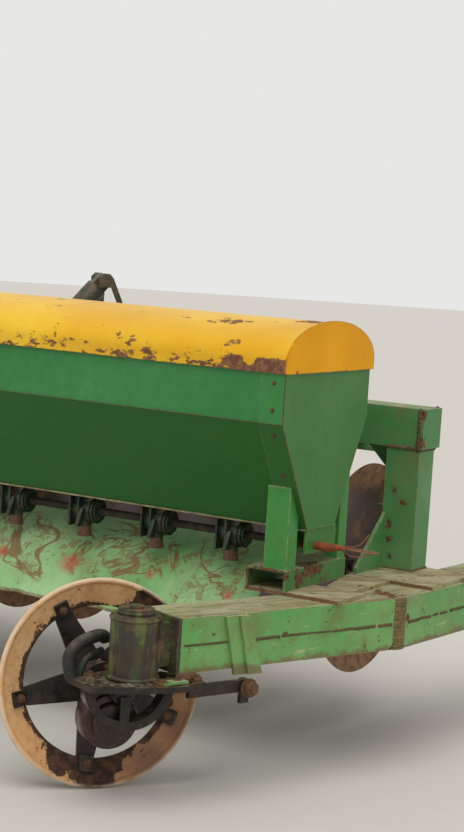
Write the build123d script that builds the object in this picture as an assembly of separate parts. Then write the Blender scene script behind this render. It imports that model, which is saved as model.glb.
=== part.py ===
from build123d import *
from math import atan2, cos, degrees, hypot, radians, sin, tan
import os

# One-way disc harrow with a seed box. Millimetres, Z up, ground at Z = 0.
# X runs along the gang and the seed box, Y from the box's front to its back.
# X = 0 is the right end of the seed box and Y = 0 its front wall.

# Direction of travel in plan, from +X towards +Y
TRAVEL_ANGLE = 52.0

# Disc gang
DISC_COUNT = 8
DISC_PITCH = 286.5
BOX_BEYOND_GANG = 294.5
DISC_RADIUS = 362.0
DISC_DISH = 85.0
DISC_THICKNESS = 6.0
DISC_FLAT_RADIUS = 62.0
DISC_HOLE_RADIUS = 21.0
FIRST_RIM_X = -135.0
GANG_Y = 890.0
GANG_Z = 540.0
AXLE_RADIUS = 20.0
SPOOL_END_RADIUS = 56.0
SPOOL_WAIST_RADIUS = 36.0
SPOOL_FLARE = 40.0
NUT_LENGTH = 34.0
NUT_RADIUS = 40.0

# Fits
RUNNING_FIT = 0.06
REST_GAP = 0.3
SIDE_GAP = 1.0

# Main beam over the gang and its posts
MAIN_BEAM_SIZE = 133.0
MAIN_BEAM_WALL = 8.0
MAIN_BEAM_FRONT_Y = 766.0
MAIN_BEAM_BOTTOM_Z = 985.0
MAIN_BEAM_RIGHT_X = 100.0
POST_WIDTH = 121.0
POST_DEPTH = 110.0
POST_WALL = 8.0
END_PLATE_THICKNESS = 8.0
GUSSET_THICKNESS = 12.0
GUSSET_LEG = 185.0
CORNER_GUSSET = 130.0

# Front and rear beams, each two channels laid toe to toe
BEAM_TOP_Z = 563.0
BEAM_WIDTH = 184.0
CHANNEL_HEIGHT = 80.0
CHANNEL_WALL = 9.0
FRONT_BEAM_BEND = (167.0, 400.0)
FRONT_BEAM_END_Y = 1880.0
FRONT_BEAM_SKEW = 3.7
BOX_LENGTH = (DISC_COUNT - 1) * DISC_PITCH + BOX_BEYOND_GANG
REAR_BEAM_GAP = 102.0
REAR_BEAM_X = -BOX_LENGTH - REAR_BEAM_GAP
REAR_BEAM_END_Y = 960.0
REAR_BEAM_BEND_Y = 420.0

# Kingpins and housings
FRONT_KINGPIN = (-173.0, -467.0)
REAR_KINGPIN_REACH = 163.0
REAR_KINGPIN_Y = 180.0
REAR_KINGPIN = (REAR_BEAM_X - REAR_KINGPIN_REACH, REAR_KINGPIN_Y)
HOUSING_RADIUS = 72.0
HOUSING_BOTTOM_Z = 379.0
HOUSING_TOP_Z = 566.0
HOUSING_CAP_RADIUS = 52.0
HOUSING_CAP_HEIGHT = 18.0
KINGPIN_RADIUS = 26.0
KINGPIN_TOP_GAP = 12.0
STUB_LENGTH = 96.0
STUB_WIDTH = 112.0
STUB_HEIGHT = 126.0
BEAM_CAP_THICKNESS = 12.0

# Furrow wheels
FURROW_RADIUS = 311.0
FURROW_RING = 84.0
FURROW_RING_THICKNESS = 9.0
FURROW_DISH = 30.0
FURROW_LIP_RADIUS = 9.0
FURROW_LEAN = 8.0
FURROW_SPOKES = 5
SPOKE_TURN = 26.0
SPOKE_ROOT = 96.0
SPOKE_WIDTH = 50.0
SPOKE_THICKNESS = 10.0
SPOKE_LAP = 16.0
HUB_RADIUS = 64.0
HUB_LENGTH = 120.0
STUB_AXLE_RADIUS = 25.0
AXLE_NUT_RADIUS = 40.0
AXLE_NUT_LENGTH = 22.0
FRONT_WHEEL_OFFSET = 255.0
FRONT_WHEEL_TRAIL = 19.0
REAR_WHEEL_TRAIL = 120.0
STEERING_PLATE_THICKNESS = 18.0
STEERING_PLATE_OUTLINE = [(-180.0, 50.0), (-150.0, -84.0), (0.0, -112.0), (150.0, -104.0),
                          (170.0, -60.0), (96.0, 74.0), (-60.0, 96.0)]
YOKE_RADIUS = 134.0
YOKE_THICKNESS = 26.0
YOKE_WIDTH = 54.0
YOKE_BACK = 8.0
STEERING_LINK_BACK = 112.0
STEERING_LINK_END = 322.0
STEERING_LINK_SIDE = (108.0, 122.0)
STEERING_LINK_Z = (338.0, 374.0)
STEERING_EYE_RADIUS = 25.0
STEERING_EYE_Z = 350.0
STEERING_EYE_LENGTH = 34.0
ANCHOR_TOP = (245.0, 292.0)
ANCHOR_BOTTOM = (288.0, 334.0)
ANCHOR_Z = (385.0, 560.0)
ANCHOR_THICKNESS = 12.0
ANCHOR_STRAP_TOP = (292.0, 326.0)
ANCHOR_STRAP_BOTTOM = (346.0, 382.0)
ANCHOR_STRAP_THICKNESS = 22.0

# Land wheel, its crank arm and the lift
LAND_RADIUS = 330.0
LAND_RIM_WIDTH = 120.0
LAND_RIM_THICKNESS = 9.0
LAND_SPOKES = 8
LAND_PIVOT = (-1367.0, 1051.0)
LAND_PIVOT_Z = 1190.0
LAND_ARM_REACH = 560.0
LAND_ARM_SIDE = 112.0
LAND_ARM_WIDTH = 70.0
LAND_ARM_THICKNESS = 40.0
LAND_WHEEL_SIDE = 240.0
CROSS_SHAFT_RADIUS = 30.0
LIFT_LEVER_SIDE = -92.0
LIFT_LEVER_THICKNESS = 24.0
LIFT_LEVER_PIN = (-230.0, 60.0)
LIFT_MAST_PIN = (-60.0, 255.0)
LIFT_PIN_RADIUS = 12.0
MAST_PLATE_THICKNESS = 12.0
MAST_PLATE_GAP = 46.0
MAST_X = (-90.0, -38.0)
CYLINDER_RADIUS = 40.0
CYLINDER_START = 36.0
ROD_RADIUS = 16.0
ROD_INSIDE = 70.0
ROD_SHOWING = 10.6987
EYE_RADIUS = 28.0
EYE_WIDTH = 40.0
ROD_EAR = 14.0
ROD_EAR_GAP = 2.0
ROD_EAR_HOLE = 16.0
ROD_FORK_BACK = 82.0
ROD_FORK_ROOT = 60.0
ROD_FORK_HALF = 20.0
LIFT_LEVER_HALF = 22.0
OUTRIGGER_WIDTH = 130.0
OUTRIGGER_END_Y = 1100.0
BEARING_WIDTH = 40.0
BEARING_RADIUS_LIFT = 52.0
DECK_THICKNESS = 14.0
DECK_X = (-110.0, 114.0)
DECK_Y = (-150.0, 84.0)

# Seed box
BOX_DEPTH = 554.0
BOX_BOTTOM_FRONT_Y = 199.0
BOX_BOTTOM_BACK_Y = 380.0
BOX_BOTTOM_Z = 760.5
BOX_CREASE_Z = 1098.0
BOX_TOP_Z = 1262.0
BOX_SHEET = 4.0
BOX_FLANGE = 85.0
BOX_FLANGE_SHEET = 3.0

# Lid
LID_OVERLAP = 12.0
LID_BASE_Z = BOX_TOP_Z - LID_OVERLAP
LID_LIP = 34.0
LID_RISE = 118.0
LID_SHEET = 3.0
LID_GAP = 3.0
LID_CAP_OVERLAP = 6.0
LID_CAP_THICKNESS = 4.0
LID_HINGE_Y = BOX_DEPTH + 23.0
LID_HINGE_RISE = 6.0
LID_HINGE_Z = LID_BASE_Z + LID_HINGE_RISE
LID_HINGE_RADIUS = 8.0
HINGE_INSET = 300.0
HINGE_LENGTH = 90.0

# Seed feed
END_BRACKET_X = (-58.0, -4.0)
END_BRACKET_FRONT = 61.0
END_BRACKET_BACK = 132.0
END_BRACKET_DROP = 22.0
END_BRACKET_WALL = 8.0
CUP_COUNT = 7
FIRST_CUP_X = -300.0
FEED_SHAFT_Y = 268.0
FEED_SHAFT_Z = 706.0
FEED_SHAFT_RADIUS = 13.0
FEED_SHAFT_STICKOUT = 190.0
CUP_BODY_RADIUS = 44.0
CUP_WIDTH = 70.0
CUP_PLATE = 6.0
CUP_BOTTOM_Z = 618.0
CUP_PLATE_DROP = 52.0
CUP_PLATE_FRONT = 58.0
CUP_PLATE_BACK = 56.0
CUP_BODY_FRONT = 34.0
CUP_BODY_BACK = 40.0
CUP_OUTLET_FRONT = 8.0
CUP_SECOND_PLATE = 34.0
CUP_OUTLET_RADIUS = 22.0

# What carries the seed box
CROSS_CHANNEL_X = (-155.0, -15.0)
CROSS_CHANNEL_Y = (110.0, 505.0)
CROSS_CHANNEL_HEIGHT = 65.0
CROSS_CHANNEL_WALL = 7.0
BEARER_BACK_Y = 300.0
BEARER_THICKNESS = 12.0
FRONT_POST_X = (-100.0, -20.0)
FRONT_POST_Y = (118.0, 176.0)
REAR_POST_X = (-66.0, -18.0)
REAR_POST_Y = (452.0, 500.0)

# Apron below the cups
APRON_SHEET = 4.0
APRON_TOP = (470.0, 664.0)
APRON_MIDDLE = (300.0, 581.0)
APRON_HEM = 62.0
APRON_BOTTOM = (168.0, 408.0)
APRON_END_GAP = 22.0
HANGER_SPOOL_COUNTS = (0, 3, 6)
HANGER_THICKNESS = 26.0
HANGER_WIDTH = 92.0
BEARING_RADIUS = 64.0
BEARING_LENGTH = 74.0
SCRAPER_BAR_Y = 1075.0
SCRAPER_BAR_Z = 922.0
SCRAPER_ARM_DROP = 170.0
RAIL_LEG = 50.0
RAIL_WALL = 6.0

# Tongue
TONGUE_LENGTH = 1165.0
TONGUE_ANGLE = 77.0
TONGUE_WIDTH = 90.0
TONGUE_HEIGHT = 110.0
TONGUE_WALL = 8.0
TONGUE_PIVOT_AHEAD = 75.0
TONGUE_PIN_RADIUS = 20.0
TONGUE_Z = 483.0
CLEVIS_THICKNESS = 20.0
CLEVIS_GAP = 6.0
EYE_BORE_RADIUS = 18.0
EYE_OUTER_RADIUS = 48.0
EYE_THICKNESS = 30.0
STAND_BACK = 330.0
STAND_TUBE_RADIUS = 24.0
STAND_FOOT = (100.0, 78.0, 12.0)
STAND_GAP = 5.0
STAND_PIN_RADIUS = 12.0

BEAM_BOTTOM_Z = BEAM_TOP_Z - 2 * CHANNEL_HEIGHT
MAIN_BEAM_TOP_Z = MAIN_BEAM_BOTTOM_Z + MAIN_BEAM_SIZE
MAIN_BEAM_BACK_Y = MAIN_BEAM_FRONT_Y + MAIN_BEAM_SIZE
MAIN_BEAM_LEFT_X = REAR_BEAM_X - POST_WIDTH / 2
RIGHT_POST_X = (MAIN_BEAM_RIGHT_X - POST_WIDTH, MAIN_BEAM_RIGHT_X)
LEFT_POST_X = (MAIN_BEAM_LEFT_X, MAIN_BEAM_LEFT_X + POST_WIDTH)
POST_Y = (MAIN_BEAM_FRONT_Y, MAIN_BEAM_FRONT_Y + POST_DEPTH)

NODES = {}


def block(x_span, y_span, z_span):
    """A bar with square corners between three pairs of limits."""
    spans = (x_span, y_span, z_span)
    size = [max(span) - min(span) for span in spans]
    middle = [sum(span) / 2 for span in spans]
    return Pos(*middle) * Box(*size)


def rod(radius, start, end):
    """A round bar from one point to another."""
    start, end = Vector(*start), Vector(*end)
    plane = Plane(origin=start, z_dir=end - start)
    return extrude(plane * Circle(radius), (end - start).length)


def prism(points, plane, depth):
    """A flat outline given thickness along its plane's normal."""
    return extrude(plane * make_face(Polyline(*points, close=True)), depth)


def mitred_side(points, shift):
    """The centreline points moved sideways, with the bends mitred."""
    points = [Vector(*point) for point in points]
    headings = [(after - before).normalized() for before, after in zip(points, points[1:])]
    side = []
    for index, point in enumerate(points):
        normals = [Vector(way.Y, -way.X) for way in (headings[max(index - 1, 0)],
                                                     headings[min(index, len(headings) - 1)])]
        side.append(point + (normals[0] + normals[1]) * (shift / (1 + normals[0].dot(normals[1]))))
    return side


def strip(points, width, z_low, z_high):
    """A bar of the given width along a bent centreline, between two heights."""
    outline = mitred_side(points, width / 2) + mitred_side(points, -width / 2)[::-1]
    face = make_face(Polyline(*[(point.X, point.Y) for point in outline], close=True))
    return extrude(Plane.XY.offset(z_low) * face, z_high - z_low)


def channel_pair(points):
    """Upper and lower channels of a beam, webs outwards and toes together."""
    middle = BEAM_TOP_Z - CHANNEL_HEIGHT
    first, last = Vector(*points[0]), Vector(*points[-1])
    stretched = [first + (first - Vector(*points[1])).normalized() * CHANNEL_WALL, *points[1:-1],
                 last + (last - Vector(*points[-2])).normalized() * CHANNEL_WALL]
    stretched = [(point.X, point.Y) if isinstance(point, Vector) else point for point in stretched]
    hollow = BEAM_WIDTH - 2 * CHANNEL_WALL
    upper = strip(points, BEAM_WIDTH, middle, BEAM_TOP_Z)
    upper -= strip(stretched, hollow, middle, BEAM_TOP_Z - CHANNEL_WALL)
    lower = strip(points, BEAM_WIDTH, BEAM_BOTTOM_Z, middle)
    lower -= strip(stretched, hollow, BEAM_BOTTOM_Z + CHANNEL_WALL, middle)
    return upper, lower


def along(start, end, distance):
    """The plan point at a distance from start towards end."""
    length = hypot(end[0] - start[0], end[1] - start[1])
    share = distance / length
    return (start[0] + (end[0] - start[0]) * share, start[1] + (end[1] - start[1]) * share)


def travel_frame(point, height=0.0):
    """A frame at a plan point, local X along the travel, local Y to the land side."""
    return Location((point[0], point[1], height), (0, 0, TRAVEL_ANGLE))


def local_point(frame, point):
    """A point of a local frame in the machine's own frame."""
    return (frame * Location(point)).position


def square_tube(x_span, y_span, z_span, wall, axis):
    """A square tube, open at both ends along one axis."""
    spans = [x_span, y_span, z_span]
    inner = [(span[0] - 1, span[1] + 1) if name == axis else (span[0] + wall, span[1] - wall)
             for name, span in zip("XYZ", spans)]
    return block(*spans) - block(*inner)


# Beams that cross the machine

FRONT_END = (FRONT_BEAM_BEND[0] + (FRONT_BEAM_END_Y - FRONT_BEAM_BEND[1]) * tan(radians(FRONT_BEAM_SKEW)),
             FRONT_BEAM_END_Y)
FRONT_START = along(FRONT_KINGPIN, FRONT_BEAM_BEND, STUB_LENGTH)
REAR_BEND = (REAR_BEAM_X, REAR_BEAM_BEND_Y)
REAR_START = along(REAR_KINGPIN, REAR_BEND, STUB_LENGTH)

NODES["front_beam_upper"], NODES["front_beam_lower"] = channel_pair(
    [FRONT_START, FRONT_BEAM_BEND, FRONT_END])
NODES["rear_beam_upper"], NODES["rear_beam_lower"] = channel_pair(
    [REAR_START, REAR_BEND, (REAR_BEAM_X, REAR_BEAM_END_Y)])


def kingpin_housing(kingpin, beam_start):
    """The upright housing with its cap, and the boxed stub that carries it on the beam's end."""
    middle_z = BEAM_TOP_Z - CHANNEL_HEIGHT
    stub_z = (middle_z - STUB_HEIGHT / 2, middle_z + STUB_HEIGHT / 2)
    cap_start = along(beam_start, kingpin, BEAM_CAP_THICKNESS)
    housing = rod(HOUSING_RADIUS, (*kingpin, HOUSING_BOTTOM_Z), (*kingpin, HOUSING_TOP_Z))
    housing += rod(HOUSING_CAP_RADIUS, (*kingpin, HOUSING_TOP_Z),
                   (*kingpin, HOUSING_TOP_Z + HOUSING_CAP_HEIGHT))
    housing += strip([kingpin, cap_start], STUB_WIDTH, *stub_z)
    housing += strip([cap_start, beam_start], BEAM_WIDTH, BEAM_BOTTOM_Z, BEAM_TOP_Z)
    bore_top = HOUSING_TOP_Z - KINGPIN_TOP_GAP
    return housing - rod(KINGPIN_RADIUS + RUNNING_FIT, (*kingpin, HOUSING_BOTTOM_Z), (*kingpin, bore_top))


NODES["front_kingpin_housing"] = kingpin_housing(FRONT_KINGPIN, FRONT_START)
NODES["rear_kingpin_housing"] = kingpin_housing(REAR_KINGPIN, REAR_START)

# Main beam, posts and gussets

main_z = (MAIN_BEAM_BOTTOM_Z, MAIN_BEAM_TOP_Z)
main_y = (MAIN_BEAM_FRONT_Y, MAIN_BEAM_BACK_Y)
NODES["main_beam"] = square_tube((MAIN_BEAM_LEFT_X, MAIN_BEAM_RIGHT_X), main_y, main_z, MAIN_BEAM_WALL, "X")
NODES["main_beam_end_plates"] = Part() + [
    block((MAIN_BEAM_RIGHT_X, MAIN_BEAM_RIGHT_X + END_PLATE_THICKNESS), main_y, main_z),
    block((MAIN_BEAM_LEFT_X - END_PLATE_THICKNESS, MAIN_BEAM_LEFT_X), main_y, main_z)]

BEARER_TOP_Z = BEAM_TOP_Z + BEARER_THICKNESS
for side, post_x in (("right", RIGHT_POST_X), ("left", LEFT_POST_X)):
    NODES["post_" + side] = square_tube(post_x, POST_Y, (BEARER_TOP_Z, MAIN_BEAM_BOTTOM_Z), POST_WALL, "Z")

post_gussets = []
corner_gussets = []
for edge_x, way in ((RIGHT_POST_X[0], 1), (LEFT_POST_X[1], -1)):
    gusset_toe = POST_Y[0] - GUSSET_LEG
    front_gusset = prism([(POST_Y[0], BEARER_TOP_Z), (gusset_toe, BEARER_TOP_Z), (gusset_toe, BEARER_TOP_Z + 20),
                          (POST_Y[0], BEARER_TOP_Z + GUSSET_LEG)],
                         Plane.YZ.offset(edge_x), GUSSET_THICKNESS * way)
    post_gussets.append(front_gusset)
    corner_x = edge_x - way * CORNER_GUSSET
    corner_gussets.append(prism(
        [(edge_x, MAIN_BEAM_BOTTOM_Z), (corner_x, MAIN_BEAM_BOTTOM_Z),
         (edge_x, MAIN_BEAM_BOTTOM_Z - CORNER_GUSSET)],
        Plane.XZ.offset(-POST_Y[1]), GUSSET_THICKNESS))
NODES["post_gussets"] = Part() + post_gussets
NODES["corner_gussets"] = Part() + corner_gussets

# Bearer plates on the beams, under the posts and the seed box's channels

half_beam = BEAM_WIDTH / 2
bearer_right = block((CROSS_CHANNEL_X[0] - 5, FRONT_BEAM_BEND[0]), (CROSS_CHANNEL_Y[0] + 8, BEARER_BACK_Y),
                     (BEAM_TOP_Z, BEARER_TOP_Z))
post_bearer_right = block((RIGHT_POST_X[0] - 12, FRONT_BEAM_BEND[0] + half_beam + 10),
                          (POST_Y[0] - GUSSET_LEG - 10, POST_Y[1] + 14), (BEAM_TOP_Z, BEARER_TOP_Z))
NODES["beam_top_plates_right"] = Part() + [bearer_right, post_bearer_right]
left_channel_x = (-BOX_LENGTH - CROSS_CHANNEL_X[1], -BOX_LENGTH - CROSS_CHANNEL_X[0])
bearer_left = block((REAR_BEAM_X - half_beam + 10, left_channel_x[1] + 5),
                    (REAR_BEAM_BEND_Y - 110, CROSS_CHANNEL_Y[1]),
                    (BEAM_TOP_Z, BEARER_TOP_Z))
post_bearer_left = block((REAR_BEAM_X - half_beam + 10, LEFT_POST_X[1] + 12),
                         (POST_Y[0] - GUSSET_LEG - 10, POST_Y[1] + 14), (BEAM_TOP_Z, BEARER_TOP_Z))
NODES["beam_top_plates_left"] = Part() + [bearer_left, post_bearer_left]

# Seed box channels and posts


def box_section(inset):
    """The seed box's V outline, moved inwards by the inset, with its top left tall."""
    outline = [(0, BOX_TOP_Z), (0, BOX_CREASE_Z), (BOX_BOTTOM_FRONT_Y, BOX_BOTTOM_Z),
               (BOX_BOTTOM_BACK_Y, BOX_BOTTOM_Z), (BOX_DEPTH, BOX_CREASE_Z), (BOX_DEPTH, BOX_TOP_Z)]
    face = make_face(Polyline(*outline, close=True))
    return offset(face, -inset, kind=Kind.INTERSECTION) if inset else face


def box_body(x_low, x_high, inset):
    return extrude(Plane.YZ.offset(x_low) * box_section(inset), x_high - x_low)


outer_box = box_body(-BOX_LENGTH, 0, 0)
CHANNEL_TOP_Z = BEARER_TOP_Z + CROSS_CHANNEL_HEIGHT
lower_half = block((-2 * BOX_LENGTH, BOX_LENGTH), (-BOX_DEPTH, BOX_DEPTH * 2), (0, BOX_CREASE_Z - 100))


def place(span, flip):
    """A span of X at the right end, or its mirror image at the left end."""
    return (-BOX_LENGTH - span[1], -BOX_LENGTH - span[0]) if flip else span


def below_box(post):
    """The part of an upright post that lies under the seed box's sloping wall."""
    return ((post - outer_box) & lower_half).solids().sort_by(Axis.Z)[0]


cross_channels, front_posts, rear_posts = [], [], []
for flip in (False, True):
    channel_x = place(CROSS_CHANNEL_X, flip)
    channel = block(channel_x, CROSS_CHANNEL_Y, (BEARER_TOP_Z, CHANNEL_TOP_Z))
    hollow_x = (channel_x[0] + CROSS_CHANNEL_WALL, channel_x[1] - CROSS_CHANNEL_WALL)
    hollow_y = (CROSS_CHANNEL_Y[0] - 1, CROSS_CHANNEL_Y[1] + 1)
    cross_channels.append(channel - block(
        hollow_x, hollow_y, (BEARER_TOP_Z, CHANNEL_TOP_Z - CROSS_CHANNEL_WALL)))
    front_posts.append(below_box(block(place(FRONT_POST_X, flip), FRONT_POST_Y,
                                       (CHANNEL_TOP_Z, BOX_CREASE_Z))))
    rear_posts.append(below_box(block(place(REAR_POST_X, flip), REAR_POST_Y,
                                      (CHANNEL_TOP_Z, BOX_CREASE_Z))))
NODES["cross_channels"] = Part() + cross_channels
NODES["box_front_posts"] = Part() + front_posts
NODES["box_rear_posts"] = Part() + rear_posts

# Seed box: trough and folded end panels

trough = box_body(-BOX_LENGTH + BOX_SHEET, -BOX_SHEET, BOX_FLANGE_SHEET)
trough_hollow = box_body(-BOX_LENGTH, 0, BOX_FLANGE_SHEET + BOX_SHEET)
box_mouth = block((-BOX_LENGTH, 0), (BOX_FLANGE_SHEET + BOX_SHEET,
                                     BOX_DEPTH - BOX_FLANGE_SHEET - BOX_SHEET),
                  (BOX_CREASE_Z, BOX_TOP_Z + 10))
NODES["seed_box_trough"] = trough - trough_hollow - box_mouth
flange_hollow = box_body(-BOX_LENGTH, 0, BOX_FLANGE_SHEET)
flange_mouth = block((-BOX_LENGTH, 0), (BOX_FLANGE_SHEET, BOX_DEPTH - BOX_FLANGE_SHEET),
                     (BOX_CREASE_Z, BOX_TOP_Z + 10))
end_right = box_body(-BOX_FLANGE, 0, 0)
end_left = box_body(-BOX_LENGTH, -BOX_LENGTH + BOX_FLANGE, 0)
inside = block((-BOX_LENGTH + BOX_SHEET, -BOX_SHEET), (-1, BOX_DEPTH + 1), (0, BOX_TOP_Z + 10))
NODES["seed_box_end_right"] = end_right - ((flange_hollow + flange_mouth) & inside)
NODES["seed_box_end_left"] = end_left - ((flange_hollow + flange_mouth) & inside)

# Lid: an arched sheet with a lip, and its two end caps


def lid_section(shrink):
    """Half an ellipse on an upright lip."""
    middle = BOX_DEPTH / 2
    half = BOX_DEPTH / 2 + LID_GAP + LID_SHEET - shrink
    arch = Pos(middle, LID_BASE_Z + LID_LIP) * Ellipse(half, LID_RISE - shrink)
    arch &= Pos(middle, LID_BASE_Z + LID_LIP + LID_RISE) * Rectangle(4 * half, 2 * LID_RISE)
    return arch + Pos(middle, LID_BASE_Z + LID_LIP / 2) * Rectangle(2 * half, LID_LIP)


def lid_solid(x_low, x_high, shrink):
    return extrude(Plane.YZ.offset(x_low) * lid_section(shrink), x_high - x_low)


lid_right_x, lid_left_x = LID_GAP, -BOX_LENGTH - LID_GAP
NODES["lid_sheet"] = lid_solid(lid_left_x, lid_right_x, 0) - lid_solid(
    lid_left_x, lid_right_x, LID_SHEET) - (Pos(0, 0, -1) * lid_solid(lid_left_x, lid_right_x, LID_SHEET))
NODES["lid_caps"] = Part() + [
    lid_solid(cap_x, cap_x + way * LID_CAP_THICKNESS, -LID_CAP_OVERLAP)
    for cap_x, way in ((lid_right_x, 1), (lid_left_x, -1))]

HINGE_TABLE = [  # centre X, length
    (-HINGE_INSET, HINGE_LENGTH), (-BOX_LENGTH / 2, HINGE_LENGTH),
    (-BOX_LENGTH + HINGE_INSET, HINGE_LENGTH)]
lid_hinges = []
box_hinges = []
for centre_x, length in HINGE_TABLE:
    third = length / 3
    pin_line = (LID_HINGE_Y, LID_HINGE_Z)
    lid_back_y = BOX_DEPTH + LID_GAP + LID_SHEET
    lid_knuckle = rod(LID_HINGE_RADIUS, (centre_x - third / 2, *pin_line),
                      (centre_x + third / 2, *pin_line))
    lid_knuckle += block((centre_x - third / 2, centre_x + third / 2), (lid_back_y, LID_HINGE_Y),
                         (LID_HINGE_Z + 2, LID_HINGE_Z + LID_HINGE_RADIUS))
    lid_hinges.append(lid_knuckle)
    for way in (-1, 1):
        low = centre_x + way * (third / 2 + SIDE_GAP / 2)
        high = centre_x + way * length / 2
        ear = rod(LID_HINGE_RADIUS, (low, *pin_line), (high, *pin_line))
        ear += block((low, high), (BOX_DEPTH - BOX_FLANGE_SHEET, LID_HINGE_Y),
                     (LID_HINGE_Z - LID_HINGE_RADIUS - 20, LID_HINGE_Z - 16))
        ear += block((low, high), (LID_HINGE_Y - 3, LID_HINGE_Y + 3),
                     (LID_HINGE_Z - LID_HINGE_RADIUS - 20, LID_HINGE_Z))
        box_hinges.append(ear)
NODES["lid_hinge_knuckles"] = Part() + lid_hinges
NODES["box_hinge_ears"] = Part() + box_hinges

# Feed cups, shaft and end bracket

cups = []
for index in range(CUP_COUNT):
    cup_x = FIRST_CUP_X - index * DISC_PITCH
    x_low, x_high = cup_x - CUP_WIDTH / 2, cup_x + CUP_WIDTH / 2
    cup = rod(CUP_BODY_RADIUS, (x_low + CUP_PLATE, FEED_SHAFT_Y, FEED_SHAFT_Z),
              (x_high, FEED_SHAFT_Y, FEED_SHAFT_Z))
    cup += block((x_low + CUP_PLATE, x_high), (FEED_SHAFT_Y - CUP_BODY_FRONT, FEED_SHAFT_Y + CUP_BODY_BACK),
                 (FEED_SHAFT_Z, BOX_BOTTOM_Z))
    for plate_x in (x_low, x_low + CUP_SECOND_PLATE):
        cup += block((plate_x, plate_x + CUP_PLATE),
                     (FEED_SHAFT_Y - CUP_PLATE_FRONT, FEED_SHAFT_Y + CUP_PLATE_BACK),
                     (FEED_SHAFT_Z - CUP_PLATE_DROP, BOX_BOTTOM_Z))
    outlet = (cup_x, FEED_SHAFT_Y - CUP_OUTLET_FRONT)
    cup += rod(CUP_OUTLET_RADIUS, (*outlet, CUP_BOTTOM_Z), (*outlet, FEED_SHAFT_Z))
    shaft_x = (x_low - 1, x_high + 1)
    cup -= rod(FEED_SHAFT_RADIUS + RUNNING_FIT, (shaft_x[0], FEED_SHAFT_Y, FEED_SHAFT_Z),
               (shaft_x[1], FEED_SHAFT_Y, FEED_SHAFT_Z))
    cups.append(cup)
NODES["feed_cups"] = Part() + cups

LAST_CUP_X = FIRST_CUP_X - (CUP_COUNT - 1) * DISC_PITCH
NODES["feed_shaft"] = rod(FEED_SHAFT_RADIUS, (LAST_CUP_X - CUP_WIDTH, FEED_SHAFT_Y, FEED_SHAFT_Z),
                          (FEED_SHAFT_STICKOUT, FEED_SHAFT_Y, FEED_SHAFT_Z))
bracket_y = (FEED_SHAFT_Y - END_BRACKET_FRONT, FEED_SHAFT_Y + END_BRACKET_BACK)
bracket_z = (FEED_SHAFT_Z - END_BRACKET_DROP, BOX_BOTTOM_Z)
bracket = block(END_BRACKET_X, bracket_y, bracket_z)
bracket -= block((END_BRACKET_X[0] + END_BRACKET_WALL, END_BRACKET_X[1] - END_BRACKET_WALL),
                 (bracket_y[0] - 1, bracket_y[1] + 1), (bracket_z[0] - 1, bracket_z[1] - END_BRACKET_WALL))
bracket_bore = (END_BRACKET_X[0] - END_BRACKET_WALL, END_BRACKET_X[1] + END_BRACKET_WALL)
NODES["box_end_bracket"] = bracket - rod(FEED_SHAFT_RADIUS + RUNNING_FIT,
                                         (bracket_bore[0], FEED_SHAFT_Y, FEED_SHAFT_Z),
                                         (bracket_bore[1], FEED_SHAFT_Y, FEED_SHAFT_Z))

# Apron sheet and the rail that carries it

apron_x = (left_channel_x[1] + APRON_END_GAP, CROSS_CHANNEL_X[0] - APRON_END_GAP)
apron_curve = ThreePointArc(APRON_TOP, APRON_MIDDLE, APRON_BOTTOM)
apron_centre = apron_curve.arc_center
apron_radius = apron_curve.radius
angles = [degrees(atan2(point[1] - apron_centre.Y, point[0] - apron_centre.X))
          for point in (APRON_TOP, APRON_BOTTOM)]
apron_outline = make_face([
    CenterArc((apron_centre.X, apron_centre.Y), apron_radius, angles[0], angles[1] - angles[0]),
    CenterArc((apron_centre.X, apron_centre.Y), apron_radius - APRON_SHEET, angles[0],
              angles[1] - angles[0]),
    *[Line(tuple(apron_centre + Vector(cos(radians(angle)), sin(radians(angle))) * apron_radius)[:2],
           tuple(apron_centre + Vector(cos(radians(angle)),
                                       sin(radians(angle))) * (apron_radius - APRON_SHEET))[:2])
      for angle in angles]])
apron = extrude(Plane.YZ.offset(apron_x[0]) * apron_outline, apron_x[1] - apron_x[0])
NODES["apron"] = apron + block(apron_x, (APRON_TOP[0] - 1, APRON_TOP[0] + 2),
                               (APRON_TOP[1] - APRON_HEM, APRON_TOP[1] - 1))

rail_x = (left_channel_x[1], CROSS_CHANNEL_X[0])
rail = block(rail_x, (APRON_TOP[0] + 2, APRON_TOP[0] + 2 + RAIL_LEG),
             (BEARER_TOP_Z + 2, BEARER_TOP_Z + 2 + RAIL_WALL))
rail += block(rail_x, (APRON_TOP[0] + 2, APRON_TOP[0] + 2 + RAIL_WALL),
              (BEARER_TOP_Z + 2, BEARER_TOP_Z + 2 + RAIL_LEG))
NODES["apron_rail"] = rail

# Disc gang: discs on one axle, spools between them


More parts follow.
